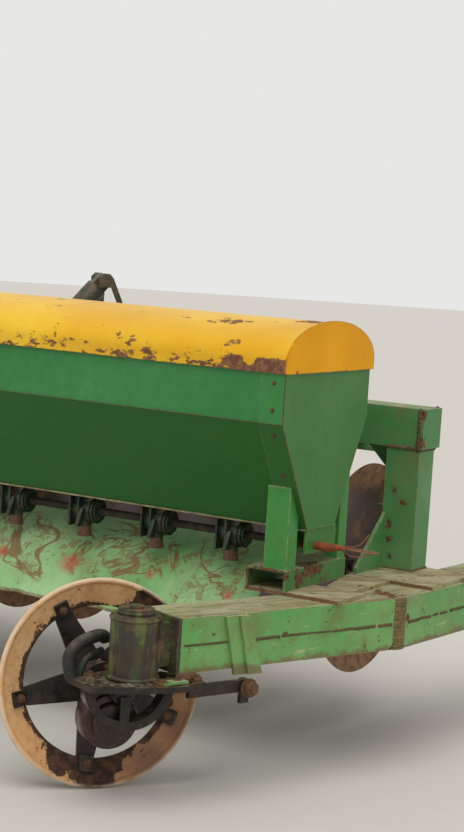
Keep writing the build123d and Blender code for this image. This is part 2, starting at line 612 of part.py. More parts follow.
def disc(rim_x):
    """A dished disc, hollow side towards +X, its rim's plane at rim_x."""
    rise = DISC_DISH
    span = DISC_RADIUS - DISC_FLAT_RADIUS
    bow = rise * 0.19
    middle = (DISC_FLAT_RADIUS + span / 2, rise / 2 + bow)
    centre_x = rim_x - DISC_DISH
    face_points = [(DISC_HOLE_RADIUS, 0), (DISC_FLAT_RADIUS, 0), (DISC_RADIUS, rise)]
    inner = ThreePointArc(face_points[1], (middle[0], rise / 2 - bow), face_points[2])
    outer = ThreePointArc((DISC_FLAT_RADIUS, -DISC_THICKNESS), (middle[0], rise / 2 - bow - DISC_THICKNESS),
                          (DISC_RADIUS, rise - DISC_THICKNESS / 2))
    section = make_face([
        Line(face_points[0], face_points[1]), inner, Line(face_points[2],
                                                          (DISC_RADIUS, rise - DISC_THICKNESS / 2)),
        outer, Line((DISC_FLAT_RADIUS, -DISC_THICKNESS), (DISC_HOLE_RADIUS, -DISC_THICKNESS)),
        Line((DISC_HOLE_RADIUS, -DISC_THICKNESS), face_points[0])])
    turned = revolve(Plane.XZ * section, Axis.Z)
    return Pos(centre_x, GANG_Y, GANG_Z) * Rot(0, 90, 0) * turned


RIM_XS = [FIRST_RIM_X - index * DISC_PITCH for index in range(DISC_COUNT)]
for index, rim_x in enumerate(RIM_XS):
    NODES["disc_%d" % (index + 1)] = disc(rim_x)

gang_line = (GANG_Y, GANG_Z)
gang_ends = (RIM_XS[-1] - DISC_DISH - DISC_THICKNESS - NUT_LENGTH - 14,
             RIM_XS[0] - DISC_DISH + NUT_LENGTH + 14)
axle = rod(AXLE_RADIUS, (gang_ends[0], *gang_line), (gang_ends[1], *gang_line))
axle += rod(NUT_RADIUS, (RIM_XS[0] - DISC_DISH, *gang_line),
            (RIM_XS[0] - DISC_DISH + NUT_LENGTH, *gang_line))
axle += rod(NUT_RADIUS, (RIM_XS[-1] - DISC_DISH - DISC_THICKNESS - NUT_LENGTH, *gang_line),
            (RIM_XS[-1] - DISC_DISH - DISC_THICKNESS, *gang_line))
for rim_x in RIM_XS[:-1]:
    spool_high = rim_x - DISC_DISH - DISC_THICKNESS
    spool_low = rim_x - DISC_PITCH - DISC_DISH
    half_section = make_face(Polyline(
        (0, spool_low), (SPOOL_END_RADIUS, spool_low), (SPOOL_END_RADIUS, spool_low + 10),
        (SPOOL_WAIST_RADIUS, spool_low + SPOOL_FLARE), (SPOOL_WAIST_RADIUS, spool_high - SPOOL_FLARE),
        (SPOOL_END_RADIUS, spool_high - 10), (SPOOL_END_RADIUS, spool_high), (0, spool_high), close=True))
    axle += Pos(0, GANG_Y, GANG_Z) * Rot(0, 90, 0) * revolve(Plane.XZ * half_section, Axis.Z)
NODES["gang_axle"] = axle

# Hangers with bearings, from the main beam to the gang's spools

hangers = []
for spool in HANGER_SPOOL_COUNTS:
    hanger_x = RIM_XS[spool] - DISC_DISH - (DISC_PITCH + DISC_THICKNESS) / 2
    hanger = block((hanger_x - HANGER_THICKNESS / 2, hanger_x + HANGER_THICKNESS / 2),
                   (GANG_Y - HANGER_WIDTH / 2, GANG_Y + HANGER_WIDTH / 2), (GANG_Z, MAIN_BEAM_BOTTOM_Z))
    hanger += block((hanger_x - 50, hanger_x + 50), (MAIN_BEAM_FRONT_Y + 14, GANG_Y + HANGER_WIDTH / 2),
                    (MAIN_BEAM_BOTTOM_Z - 16, MAIN_BEAM_BOTTOM_Z))
    hanger += rod(BEARING_RADIUS, (hanger_x - BEARING_LENGTH / 2, *gang_line),
                  (hanger_x + BEARING_LENGTH / 2, *gang_line))
    hanger -= rod(SPOOL_WAIST_RADIUS + RUNNING_FIT, (hanger_x - BEARING_LENGTH, *gang_line),
                  (hanger_x + BEARING_LENGTH, *gang_line))
    hangers.append(hanger)
NODES["gang_hangers"] = Part() + hangers

# Scrapers on a bar behind the gang

bar = block((RIM_XS[-1] - 20, RIM_XS[0] + 40), (SCRAPER_BAR_Y, SCRAPER_BAR_Y + 10),
            (SCRAPER_BAR_Z, MAIN_BEAM_BOTTOM_Z - 1))
for spool in HANGER_SPOOL_COUNTS:
    arm_x = RIM_XS[spool] - DISC_PITCH / 2
    bar += block((arm_x - 25, arm_x + 25), (MAIN_BEAM_FRONT_Y + 90, SCRAPER_BAR_Y + 10),
                 (MAIN_BEAM_BOTTOM_Z - 12, MAIN_BEAM_BOTTOM_Z))
for rim_x in RIM_XS:
    bar += block((rim_x + 12, rim_x + 22), (SCRAPER_BAR_Y - 40, SCRAPER_BAR_Y + 2),
                 (SCRAPER_BAR_Z - SCRAPER_ARM_DROP, SCRAPER_BAR_Z + 50))
    bar += block((rim_x - 14, rim_x + 22), (SCRAPER_BAR_Y - 90, SCRAPER_BAR_Y + 2),
                 (SCRAPER_BAR_Z - SCRAPER_ARM_DROP - 8, SCRAPER_BAR_Z - SCRAPER_ARM_DROP))
NODES["scraper_bar"] = bar

# Furrow wheels and their knuckles


def furrow_ring():
    """The dished ring with a round lip, about the wheel's own axle (local Z)."""
    inner = FURROW_RADIUS - FURROW_RING
    half, depth = FURROW_RING_THICKNESS / 2, FURROW_DISH / 2
    lip = FURROW_RADIUS - FURROW_LIP_RADIUS
    face = make_face(Polyline((inner, depth - half), (lip, -depth - half), (lip, -depth + half),
                              (inner, depth + half),
                              close=True))
    face += Pos(lip, -depth) * Circle(FURROW_LIP_RADIUS)
    return revolve(Plane.XZ * face, Axis.Z)


def furrow_wheel(frame, trail, side):
    """Ring and centre of a leaning wheel, seated on the ground."""
    axle_lean = Location((0, 0, 0), (-90 - FURROW_LEAN, 0, 0))
    ring = furrow_ring()
    centre = Cylinder(HUB_RADIUS, HUB_LENGTH) - Cylinder(STUB_AXLE_RADIUS + RUNNING_FIT, 2 * HUB_LENGTH)
    inner = FURROW_RADIUS - FURROW_RING
    spoke_z = FURROW_DISH / 2 + FURROW_RING_THICKNESS / 2
    spoke = prism([(HUB_RADIUS - 8, -SPOKE_ROOT / 2), (inner + SPOKE_LAP, -SPOKE_WIDTH / 2),
                   (inner + SPOKE_LAP, SPOKE_WIDTH / 2), (HUB_RADIUS - 8, SPOKE_ROOT / 2)],
                  Plane.XY.offset(spoke_z), SPOKE_THICKNESS)
    for index in range(FURROW_SPOKES):
        centre += Rot(0, 0, SPOKE_TURN + index * 360 / FURROW_SPOKES) * spoke
    centre -= ring
    centre = centre.solids().sort_by(SortBy.VOLUME)[-1]
    lowest = (axle_lean * ring).bounding_box().min.Z
    seat = frame * Pos(-trail, side, -lowest)
    return seat * axle_lean * ring, seat * axle_lean * centre, -lowest


def knuckle(frame, trail, side, axle_z):
    """Kingpin, steering plate and stub axle in one forging."""
    plate_top = HOUSING_BOTTOM_Z - REST_GAP
    plate_bottom = plate_top - STEERING_PLATE_THICKNESS
    body = prism(STEERING_PLATE_OUTLINE, Plane.XY.offset(plate_bottom), STEERING_PLATE_THICKNESS)
    body += rod(KINGPIN_RADIUS, (0, 0, plate_bottom), (0, 0, HOUSING_TOP_Z - KINGPIN_TOP_GAP - 4))
    hub_half = HUB_LENGTH / 2
    lean = radians(FURROW_LEAN)
    inner_end = (-trail, side - (side - 20) * 1.0, axle_z + (side - 20) * sin(lean) / cos(lean))
    collar_end = (-trail, side - (hub_half + REST_GAP) * cos(lean),
                  axle_z + (hub_half + REST_GAP) * sin(lean))
    hub_end = (-trail, side + (hub_half + REST_GAP) * cos(lean), axle_z - (hub_half + REST_GAP) * sin(lean))
    tip = (-trail, side + (hub_half + AXLE_NUT_LENGTH) * cos(lean),
           axle_z - (hub_half + AXLE_NUT_LENGTH) * sin(lean))
    body += rod(STUB_AXLE_RADIUS, inner_end, tip)
    body += rod(AXLE_NUT_RADIUS, inner_end, collar_end)
    body += rod(AXLE_NUT_RADIUS, hub_end, tip)
    body += block((-trail - 30, -trail + 30), (0, 62), (axle_z + 20, plate_bottom + 1))
    yoke_y = (20 - YOKE_WIDTH / 2, 20 + YOKE_WIDTH / 2)
    yoke = rod(YOKE_RADIUS, (-YOKE_BACK, yoke_y[0], plate_bottom), (-YOKE_BACK, yoke_y[1], plate_bottom))
    yoke -= rod(YOKE_RADIUS - YOKE_THICKNESS, (-YOKE_BACK, yoke_y[0] - 1, plate_bottom),
                (-YOKE_BACK, yoke_y[1] + 1, plate_bottom))
    body += yoke & block((-2 * YOKE_RADIUS, 2 * YOKE_RADIUS), yoke_y, (0, plate_bottom + 1))
    body += block((-trail - 14, -trail + 14), yoke_y,
                  (plate_bottom - YOKE_RADIUS + YOKE_THICKNESS / 2, axle_z + 20))
    return frame * body


WHEEL_SETS = [  # name, kingpin, trail
    ("front", FRONT_KINGPIN, FRONT_WHEEL_TRAIL), ("rear", REAR_KINGPIN, REAR_WHEEL_TRAIL)]
for name, kingpin, trail in WHEEL_SETS:
    frame = travel_frame(kingpin)
    ring, centre, axle_z = furrow_wheel(frame, trail, FRONT_WHEEL_OFFSET)
    NODES[name + "_wheel_ring"] = ring
    NODES[name + "_wheel_centre"] = centre
    NODES[name + "_knuckle"] = knuckle(frame, trail, FRONT_WHEEL_OFFSET, axle_z)
FURROW_AXLE_Z = axle_z

# Steering link beside the front beam, and the anchor it hooks to

beam_heading = degrees(atan2(FRONT_BEAM_BEND[1] - FRONT_KINGPIN[1], FRONT_BEAM_BEND[0] - FRONT_KINGPIN[0]))
beside_beam = Pos(*FRONT_KINGPIN, 0) * Rot(0, 0, beam_heading)
link_y = (-STEERING_LINK_SIDE[1], -STEERING_LINK_SIDE[0])
link = block((STEERING_LINK_BACK, STEERING_LINK_END), link_y, STEERING_LINK_Z)
link += block((STEERING_LINK_BACK, STEERING_LINK_BACK + 60), (link_y[0], -70),
              (HOUSING_BOTTOM_Z - REST_GAP - STEERING_PLATE_THICKNESS, HOUSING_BOTTOM_Z - REST_GAP))
link += rod(STEERING_EYE_RADIUS, (STEERING_LINK_END, link_y[0] - 8, STEERING_EYE_Z),
            (STEERING_LINK_END, link_y[0] - 8 + STEERING_EYE_LENGTH, STEERING_EYE_Z))
link += block((STEERING_LINK_END - 12, STEERING_LINK_END + 18), (link_y[1] - 2, link_y[1] + 12),
              (STEERING_EYE_Z - 2 * STEERING_EYE_RADIUS, STEERING_EYE_Z))
NODES["front_knuckle"] += beside_beam * link
face_plane = Plane((0, -BEAM_WIDTH / 2, 0), x_dir=(1, 0, 0), z_dir=(0, -1, 0))
anchor = prism([(ANCHOR_TOP[0], ANCHOR_Z[1]), (ANCHOR_TOP[1], ANCHOR_Z[1]), (ANCHOR_BOTTOM[1], ANCHOR_Z[0]),
                (ANCHOR_BOTTOM[0], ANCHOR_Z[0])], face_plane, ANCHOR_THICKNESS)
anchor += prism([(ANCHOR_STRAP_TOP[0] - 2, ANCHOR_Z[1]), (ANCHOR_STRAP_TOP[1], ANCHOR_Z[1]),
                 (ANCHOR_STRAP_BOTTOM[1], ANCHOR_Z[0]), (ANCHOR_STRAP_BOTTOM[0] - 16,
                                                         ANCHOR_Z[0])], face_plane,
                ANCHOR_STRAP_THICKNESS)
NODES["steering_anchor"] = beside_beam * anchor

# Land wheel, crank arm and lift, in a frame at the cross shaft along the travel

pivot = travel_frame(LAND_PIVOT, LAND_PIVOT_Z)
wheel_drop = LAND_RADIUS - LAND_PIVOT_Z
wheel_centre = (LAND_ARM_REACH, LAND_WHEEL_SIDE, wheel_drop)


def turned_side(location, solid):
    """A solid about Z laid over, so that its axle runs along local Y."""
    return location * Rot(-90, 0, 0) * solid


rim = Cylinder(LAND_RADIUS, LAND_RIM_WIDTH) - Cylinder(LAND_RADIUS - LAND_RIM_THICKNESS, 2 * LAND_RIM_WIDTH)
hub = Cylinder(HUB_RADIUS, HUB_LENGTH)
spoke_length = LAND_RADIUS - LAND_RIM_THICKNESS - HUB_RADIUS + 8
land_spoke = Pos(HUB_RADIUS + spoke_length / 2 - 8, 0, 0) * Box(spoke_length, 42, 12)
for index in range(LAND_SPOKES):
    hub += Rot(0, 0, index * 360 / LAND_SPOKES) * land_spoke
hub &= Cylinder(LAND_RADIUS - LAND_RIM_THICKNESS, 2 * LAND_RIM_WIDTH)
hub -= Cylinder(STUB_AXLE_RADIUS + RUNNING_FIT, 2 * HUB_LENGTH)
wheel_seat = pivot * Pos(*wheel_centre)
NODES["land_wheel_rim"] = turned_side(wheel_seat, rim)
NODES["land_wheel_centre"] = turned_side(wheel_seat, hub)

arm_y = (LAND_ARM_SIDE - LAND_ARM_THICKNESS / 2, LAND_ARM_SIDE + LAND_ARM_THICKNESS / 2)
arm_line = Vector(LAND_ARM_REACH, wheel_drop)
arm_side = Vector(-arm_line.Y, arm_line.X).normalized() * (LAND_ARM_WIDTH / 2)
arm_points = [arm_side, arm_line + arm_side, arm_line - arm_side, arm_side * -1]
arm = prism([(point.X, point.Y) for point in arm_points], Plane.XZ.offset(-arm_y[1]), LAND_ARM_THICKNESS)
arm += rod(LAND_ARM_WIDTH / 2 + 8, (0, arm_y[0], 0), (0, arm_y[1], 0))
arm += rod(LAND_ARM_WIDTH / 2 + 4, (LAND_ARM_REACH, arm_y[0], wheel_drop),
           (LAND_ARM_REACH, arm_y[1], wheel_drop))
hub_side = LAND_WHEEL_SIDE - HUB_LENGTH / 2 - REST_GAP
hub_far = LAND_WHEEL_SIDE + HUB_LENGTH / 2 + REST_GAP
arm += rod(AXLE_NUT_RADIUS, (LAND_ARM_REACH, arm_y[0], wheel_drop), (LAND_ARM_REACH, hub_side, wheel_drop))
arm += rod(STUB_AXLE_RADIUS, (LAND_ARM_REACH, arm_y[0], wheel_drop),
           (LAND_ARM_REACH, hub_far + 4, wheel_drop))
arm += rod(AXLE_NUT_RADIUS, (LAND_ARM_REACH, hub_far, wheel_drop),
           (LAND_ARM_REACH, hub_far + AXLE_NUT_LENGTH, wheel_drop))
lever_y = (LIFT_LEVER_SIDE - LIFT_LEVER_THICKNESS / 2, LIFT_LEVER_SIDE + LIFT_LEVER_THICKNESS / 2)
arm += rod(CROSS_SHAFT_RADIUS, (0, lever_y[0], 0), (0, arm_y[1], 0))
lever_line = Vector(*LIFT_LEVER_PIN)
lever_side = Vector(-lever_line.Y, lever_line.X).normalized() * LIFT_LEVER_HALF
lever_points = [lever_side, lever_line + lever_side, lever_line - lever_side, lever_side * -1]
arm += prism([(point.X, point.Y) for point in lever_points], Plane.XZ.offset(-lever_y[1]),
             LIFT_LEVER_THICKNESS)
arm += rod(CROSS_SHAFT_RADIUS + 12, (0, lever_y[0], 0), (0, lever_y[1], 0))
pin_x, pin_z = LIFT_LEVER_PIN
arm += rod(EYE_RADIUS, (pin_x, lever_y[0], pin_z), (pin_x, lever_y[1], pin_z))
ear_inner = LIFT_LEVER_THICKNESS / 2 + ROD_EAR_GAP
ear_outer = ear_inner + ROD_EAR
arm += rod(LIFT_PIN_RADIUS, (pin_x, LIFT_LEVER_SIDE - ear_outer - 5, pin_z),
           (pin_x, LIFT_LEVER_SIDE + ear_outer + 5, pin_z))
NODES["land_wheel_arm"] = pivot * arm

# Outrigger on the main beam, bearing blocks and mast

outrigger_x = (LAND_PIVOT[0] - OUTRIGGER_WIDTH / 2, LAND_PIVOT[0] + OUTRIGGER_WIDTH / 2)
NODES["lift_outrigger"] = square_tube(outrigger_x, (MAIN_BEAM_BACK_Y, OUTRIGGER_END_Y), main_z,
                                      MAIN_BEAM_WALL, "Y")
deck_z = MAIN_BEAM_TOP_Z - LAND_PIVOT_Z
deck_top = deck_z + DECK_THICKNESS
mast = block(DECK_X, DECK_Y, (deck_z, deck_top))
for y_low in (-62, 22):
    y_span = (y_low, y_low + BEARING_WIDTH)
    mast += block((-BEARING_RADIUS_LIFT, BEARING_RADIUS_LIFT), y_span, (deck_top, 20))
    mast += rod(BEARING_RADIUS_LIFT, (0, y_span[0], 0), (0, y_span[1], 0))
mast_pin_x, mast_pin_z = LIFT_MAST_PIN
mast_top = mast_pin_z + EYE_RADIUS
plate_outline = [(MAST_X[0], deck_top), (MAST_X[0], mast_top - 14), (MAST_X[0] + 14, mast_top),
                 (MAST_X[1] - 14, mast_top), (MAST_X[1], mast_top - 14), (MAST_X[1], deck_top)]
brace_outline = plate_outline[:4] + [(MAST_X[1], mast_top - 14), (DECK_X[1] - 4, deck_top)]
inner_y = LIFT_LEVER_SIDE + MAST_PLATE_GAP
outer_y = LIFT_LEVER_SIDE - MAST_PLATE_GAP
mast += prism(plate_outline, Plane.XZ.offset(-inner_y - MAST_PLATE_THICKNESS), MAST_PLATE_THICKNESS)
mast += prism(brace_outline, Plane.XZ.offset(-outer_y), MAST_PLATE_THICKNESS)
mast += rod(LIFT_PIN_RADIUS, (mast_pin_x, outer_y - MAST_PLATE_THICKNESS, mast_pin_z),
            (mast_pin_x, inner_y + MAST_PLATE_THICKNESS, mast_pin_z))
mast -= rod(CROSS_SHAFT_RADIUS + RUNNING_FIT, (0, LIFT_LEVER_SIDE + LIFT_LEVER_THICKNESS, 0),
            (0, DECK_Y[1] + 10, 0))
NODES["lift_mast"] = pivot * mast

# Lift cylinder and its rod, along the line from the mast's pin to the lever's pin

lift_length = hypot(pin_x - mast_pin_x, pin_z - mast_pin_z)
lift_tilt = degrees(atan2(pin_z - mast_pin_z, pin_x - mast_pin_x))
lift = pivot * Location((mast_pin_x, LIFT_LEVER_SIDE, mast_pin_z), (0, -lift_tilt, 0))
fork_start = lift_length - ROD_FORK_BACK
cylinder_end = fork_start - ROD_SHOWING
rod_start = cylinder_end - ROD_INSIDE
barrel = rod(CYLINDER_RADIUS, (CYLINDER_START, 0, 0), (cylinder_end, 0, 0))
barrel += block((0, CYLINDER_START + 4), (-EYE_WIDTH / 2, EYE_WIDTH / 2), (-EYE_RADIUS, EYE_RADIUS))
barrel += rod(EYE_RADIUS, (0, -EYE_WIDTH / 2, 0), (0, EYE_WIDTH / 2, 0))
barrel -= rod(LIFT_PIN_RADIUS + RUNNING_FIT, (0, -EYE_WIDTH, 0), (0, EYE_WIDTH, 0))
barrel -= rod(ROD_RADIUS + RUNNING_FIT, (rod_start - 6, 0, 0), (cylinder_end + 1, 0, 0))
NODES["lift_cylinder"] = lift * barrel
fork = rod(ROD_RADIUS, (rod_start, 0, 0), (fork_start + 2, 0, 0))
fork += block((fork_start, lift_length - ROD_FORK_ROOT), (-ear_outer, ear_outer),
              (-ROD_FORK_HALF, ROD_FORK_HALF))
for y_low in (-ear_outer, ear_inner):
    fork += block((fork_start, lift_length), (y_low, y_low + ROD_EAR), (-ROD_FORK_HALF, ROD_FORK_HALF))
    fork += rod(EYE_RADIUS, (lift_length, y_low, 0), (lift_length, y_low + ROD_EAR, 0))
fork -= rod(ROD_EAR_HOLE, (lift_length, -ear_outer - 1, 0), (lift_length, ear_outer + 1, 0))
NODES["lift_rod"] = lift * fork

# Tongue, its clevis on the front beam's end, and the parking stand

beam_heading = 90 - FRONT_BEAM_SKEW
beam_end = Location((*FRONT_END, TONGUE_Z), (0, 0, beam_heading))
tongue_pivot = local_point(beam_end, (TONGUE_PIVOT_AHEAD, 0, 0))
tongue_frame = Location(tuple(tongue_pivot), (0, 0, TONGUE_ANGLE))
clevis_y = (TONGUE_WIDTH / 2 + CLEVIS_GAP, TONGUE_WIDTH / 2 + CLEVIS_GAP + CLEVIS_THICKNESS)
clevis = Part()
for y_span in (clevis_y, (-clevis_y[1], -clevis_y[0])):
    clevis += block((-1.6 * TONGUE_PIVOT_AHEAD, 36), y_span, (-48, 48))
clevis += rod(TONGUE_PIN_RADIUS, (0, -clevis_y[1] - 8, 0), (0, clevis_y[1] + 8, 0))
clevis = tongue_frame * clevis
cap_z = (BEAM_BOTTOM_Z - TONGUE_Z, BEAM_TOP_Z - TONGUE_Z)
clevis -= beam_end * block((-2 * BEAM_WIDTH, 0), (-2 * BEAM_WIDTH, 2 * BEAM_WIDTH),
                           (-BEAM_WIDTH, BEAM_WIDTH))
clevis += beam_end * block((0, BEAM_CAP_THICKNESS), (-half_beam, half_beam), cap_z)
NODES["tongue_clevis"] = clevis

half_height = TONGUE_HEIGHT / 2
tube_x = (30.0, TONGUE_LENGTH - 105.0)
tongue = square_tube(tube_x, (-TONGUE_WIDTH / 2, TONGUE_WIDTH / 2), (-half_height, half_height),
                     TONGUE_WALL, "X")
tongue += rod(TONGUE_PIN_RADIUS + 15, (0, -TONGUE_WIDTH / 2, 0), (0, TONGUE_WIDTH / 2, 0))
tongue += block((0, tube_x[0] + 10), (-TONGUE_WIDTH / 2, TONGUE_WIDTH / 2), (-34, 34))
tongue += block((tube_x[1] - 1, tube_x[1] + 12), (-TONGUE_WIDTH / 2, TONGUE_WIDTH / 2),
                (-half_height, half_height))
tongue -= rod(TONGUE_PIN_RADIUS + RUNNING_FIT, (0, -TONGUE_WIDTH, 0), (0, TONGUE_WIDTH, 0))
stand_x = TONGUE_LENGTH - STAND_BACK
stand_y = -TONGUE_WIDTH / 2 - STAND_GAP - STAND_TUBE_RADIUS
tongue += rod(STAND_PIN_RADIUS, (stand_x, -TONGUE_WIDTH / 2 + 1, 0),
              (stand_x, stand_y - STAND_TUBE_RADIUS - 8, 0))
NODES["tongue"] = tongue_frame * tongue
eye = block((tube_x[1] + 12, TONGUE_LENGTH), (-EYE_OUTER_RADIUS, EYE_OUTER_RADIUS),
            (-EYE_THICKNESS / 2, EYE_THICKNESS / 2))
eye += rod(EYE_OUTER_RADIUS, (TONGUE_LENGTH, 0, -EYE_THICKNESS / 2), (TONGUE_LENGTH, 0, EYE_THICKNESS / 2))
eye -= rod(EYE_BORE_RADIUS, (TONGUE_LENGTH, 0, -EYE_THICKNESS), (TONGUE_LENGTH, 0, EYE_THICKNESS))
NODES["hitch_eye"] = tongue_frame * eye

stand = rod(STAND_TUBE_RADIUS, (stand_x, stand_y, -TONGUE_Z), (stand_x, stand_y, 50))
stand += rod(STAND_TUBE_RADIUS + 8, (stand_x, stand_y - STAND_TUBE_RADIUS, 0),
             (stand_x, stand_y + STAND_TUBE_RADIUS, 0))
stand += block((stand_x - STAND_FOOT[0] / 2, stand_x + STAND_FOOT[0] / 2),
               (-TONGUE_WIDTH / 2 - STAND_GAP - STAND_FOOT[1], -TONGUE_WIDTH / 2 - STAND_GAP),
               (-TONGUE_Z, -TONGUE_Z + STAND_FOOT[2]))
stand -= rod(STAND_PIN_RADIUS + RUNNING_FIT, (stand_x, stand_y - 60, 0), (stand_x, stand_y + 60, 0))
NODES["parking_stand"] = tongue_frame * stand

# Origin on the ground, under the middle of the whole machine

boxes = [solid.bounding_box() for solid in NODES.values()]
MIDDLE = ((min(box.min.X for box in boxes) + max(box.max.X for box in boxes)) / 2,
          (min(box.min.Y for box in boxes) + max(box.max.Y for box in boxes)) / 2)
SHIFT = Pos(-MIDDLE[0], -MIDDLE[1], 0)

os.makedirs("parts", exist_ok=True)
for name, solid in NODES.items():
    export_step(SHIFT * solid, "parts/%s.step" % name)
print("nodes", len(NODES), "middle", MIDDLE, "furrow axle height", FURROW_AXLE_Z)
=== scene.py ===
# %% [markdown]
# This notebook dresses a one-way disc harrow with a seed box: a green farm implement of welded beams,
# with a yellow lid, a gang of hollow discs and three steel wheels. The hard shapes come from CAD and are
# loaded as a fixed frame. Here they get paint, rust and grease, and the small pieces a drawing leaves out:
# welds, bolts, brackets, wire and castings.

# %% Load the CAD model
import math
import random

import bmesh
import bpy
from mathutils import Matrix, Vector


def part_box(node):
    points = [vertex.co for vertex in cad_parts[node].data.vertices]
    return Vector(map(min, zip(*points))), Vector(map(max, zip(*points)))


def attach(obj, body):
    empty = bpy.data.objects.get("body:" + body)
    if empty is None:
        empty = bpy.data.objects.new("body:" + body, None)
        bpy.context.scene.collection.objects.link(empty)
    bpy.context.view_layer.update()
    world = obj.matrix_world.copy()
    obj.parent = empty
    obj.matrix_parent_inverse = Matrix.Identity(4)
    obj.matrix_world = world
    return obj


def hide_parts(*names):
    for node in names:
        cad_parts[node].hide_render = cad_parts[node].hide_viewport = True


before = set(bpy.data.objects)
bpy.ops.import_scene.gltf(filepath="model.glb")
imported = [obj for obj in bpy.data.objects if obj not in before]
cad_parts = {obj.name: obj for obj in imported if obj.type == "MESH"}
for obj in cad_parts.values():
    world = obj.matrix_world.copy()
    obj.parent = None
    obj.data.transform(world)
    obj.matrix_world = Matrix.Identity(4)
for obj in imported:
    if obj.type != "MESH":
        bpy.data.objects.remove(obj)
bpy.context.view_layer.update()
bpy.ops.object.select_all(action="DESELECT")

# %% [markdown]
# Every small piece is placed from the CAD's own boxes. The handiest corner on this machine is the seed
# box's: its right end face is where X starts, and its front face is where Y starts. The helper `at` turns
# millimetres measured from that corner and from the ground into the scene's metres.

# %% Find the seed box's corner
end_low, end_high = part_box("seed_box_end_right")
CORNER = Vector((end_high[0], end_low[1], 0.0))
UP = Vector((0.0, 0.0, 1.0))


def at(x, y, z):
    """Millimetres from the seed box's right front corner, as a point of the scene."""
    return CORNER + Vector((x, y, z)) / 1000.0


def spots(rows):
    """Rows of x, y, z in millimetres and a radius in metres, as (point, radius) pairs."""
    return [(at(x, y, z), radius) for x, y, z, radius in rows]


def placed(name, data):
    """An object made of a mesh, curve, camera or light, linked to the scene."""
    thing = bpy.data.objects.new(name, data)
    bpy.context.scene.collection.objects.link(thing)
    return thing


print("corner", [round(value, 3) for value in CORNER])

# %% [markdown]
# The camera stands where the photographer stood: low at the front right, looking along the seed box.
# Its lens and its tilt were worked out from the straight edges of the beams. The phone was held a little
# crooked, so the camera is rolled by a few degrees too.

# %% Camera at the photograph's angle
YAW, PITCH, ROLL = (math.radians(angle) for angle in (30.561, 5.65, 3.7))
FOCAL_PIXELS, PICTURE_HEIGHT, SENSOR_MM = 1905.25, 832.0, 24.0
forward = Vector((-math.sin(YAW) * math.cos(PITCH), math.cos(YAW) * math.cos(PITCH), -math.sin(PITCH)))
level_right = Vector((math.cos(YAW), math.sin(YAW), 0.0))
level_up = level_right.cross(forward)
camera_right = level_right * math.cos(ROLL) + level_up * math.sin(ROLL)
camera_up = level_up * math.cos(ROLL) - level_right * math.sin(ROLL)
camera_data = bpy.data.cameras.new("photo_camera")
camera_data.sensor_fit = "VERTICAL"
camera_data.sensor_height = SENSOR_MM
camera_data.lens = SENSOR_MM * FOCAL_PIXELS / PICTURE_HEIGHT
camera_data.clip_end = 200.0
camera = placed("photo_camera", camera_data)
turn = Matrix((camera_right, camera_up, -forward)).transposed().to_4x4()
camera.matrix_world = Matrix.Translation(at(2738.84, -4936.58, 1675.0)) @ turn
bpy.context.scene.camera = camera
bpy.context.scene.view_settings.view_transform = "Standard"
print("lens", round(camera_data.lens, 1), "mm")

# %% [markdown]
# The day was overcast, so the light is one big soft sky with a weak, very soft sun in it. The floor is a
# plain pale disc. The sky that lights the machine is dimmer than the one that is seen or mirrored.

# %% Floor, sky and sun
bpy.ops.mesh.primitive_circle_add(vertices=64, radius=40.0, fill_type="NGON", location=(0.0, 0.0, -0.001))
floor = bpy.context.object
floor.name = "pale_floor"
floor_paint = bpy.data.materials.new("pale_floor")
floor_paint.use_nodes = True
floor_shader = floor_paint.node_tree.nodes["Principled BSDF"]
floor_shader.inputs["Base Color"].default_value = (0.62, 0.60, 0.57, 1.0)
floor_shader.inputs["Roughness"].default_value = 0.95
floor.data.materials.append(floor_paint)

world = bpy.data.worlds.new("overcast")
bpy.context.scene.world = world
world.use_nodes = True
sky_nodes, sky_links = world.node_tree.nodes, world.node_tree.links
sky_nodes.clear()
sky_mix = sky_nodes.new("ShaderNodeMixShader")
for slot, colour, strength in ((1, (1.0, 0.99, 0.96, 1.0), 0.62), (2, (0.80, 0.80, 0.79, 1.0), 1.0)):
    sky = sky_nodes.new("ShaderNodeBackground")
    sky.inputs["Color"].default_value = colour
    sky.inputs["Strength"].default_value = strength
    sky_links.new(sky.outputs[0], sky_mix.inputs[slot])
light_path = sky_nodes.new("ShaderNodeLightPath")
seen_or_mirrored = sky_nodes.new("ShaderNodeMath")
seen_or_mirrored.operation = "MAXIMUM"
sky_links.new(light_path.outputs["Is Camera Ray"], seen_or_mirrored.inputs[0])
sky_links.new(light_path.outputs["Is Glossy Ray"], seen_or_mirrored.inputs[1])
sky_links.new(seen_or_mirrored.outputs[0], sky_mix.inputs["Fac"])
sky_links.new(sky_mix.outputs[0], sky_nodes.new("ShaderNodeOutputWorld").inputs["Surface"])

sun_data = bpy.data.lights.new("soft_sun", "SUN")
sun_data.energy = 1.5
sun_data.angle = math.radians(50)
sun_data.color = (1.0, 0.97, 0.92)
sun = placed("soft_sun", sun_data)
sun.rotation_euler = Vector((-0.25, 0.45, -1.0)).normalized().to_track_quat("-Z", "Y").to_euler()
print("floor, sky and sun are set")

# %% [markdown]
# All the paints here are built from the same few ingredients: a cloudy noise, a threshold that turns noise
# into patches, a mask for faces that look up and catch dust, and a mask for worn edges. Each ingredient is
# a short helper that adds its nodes to a material and hands back the socket to link. Coats of colour are
# laid one over the other. The patterns read Object coordinates, in metres, so a noise of scale 40 has
# blobs about 25 mm across.

# %% A small kit for mixing finishes


def srgb(red, green, blue):
    """A colour as a picture shows it, 0 to 255, turned into the linear values a shader wants."""
    return tuple(((value / 255.0 + 0.055) / 1.055) ** 2.4 for value in (red, green, blue))


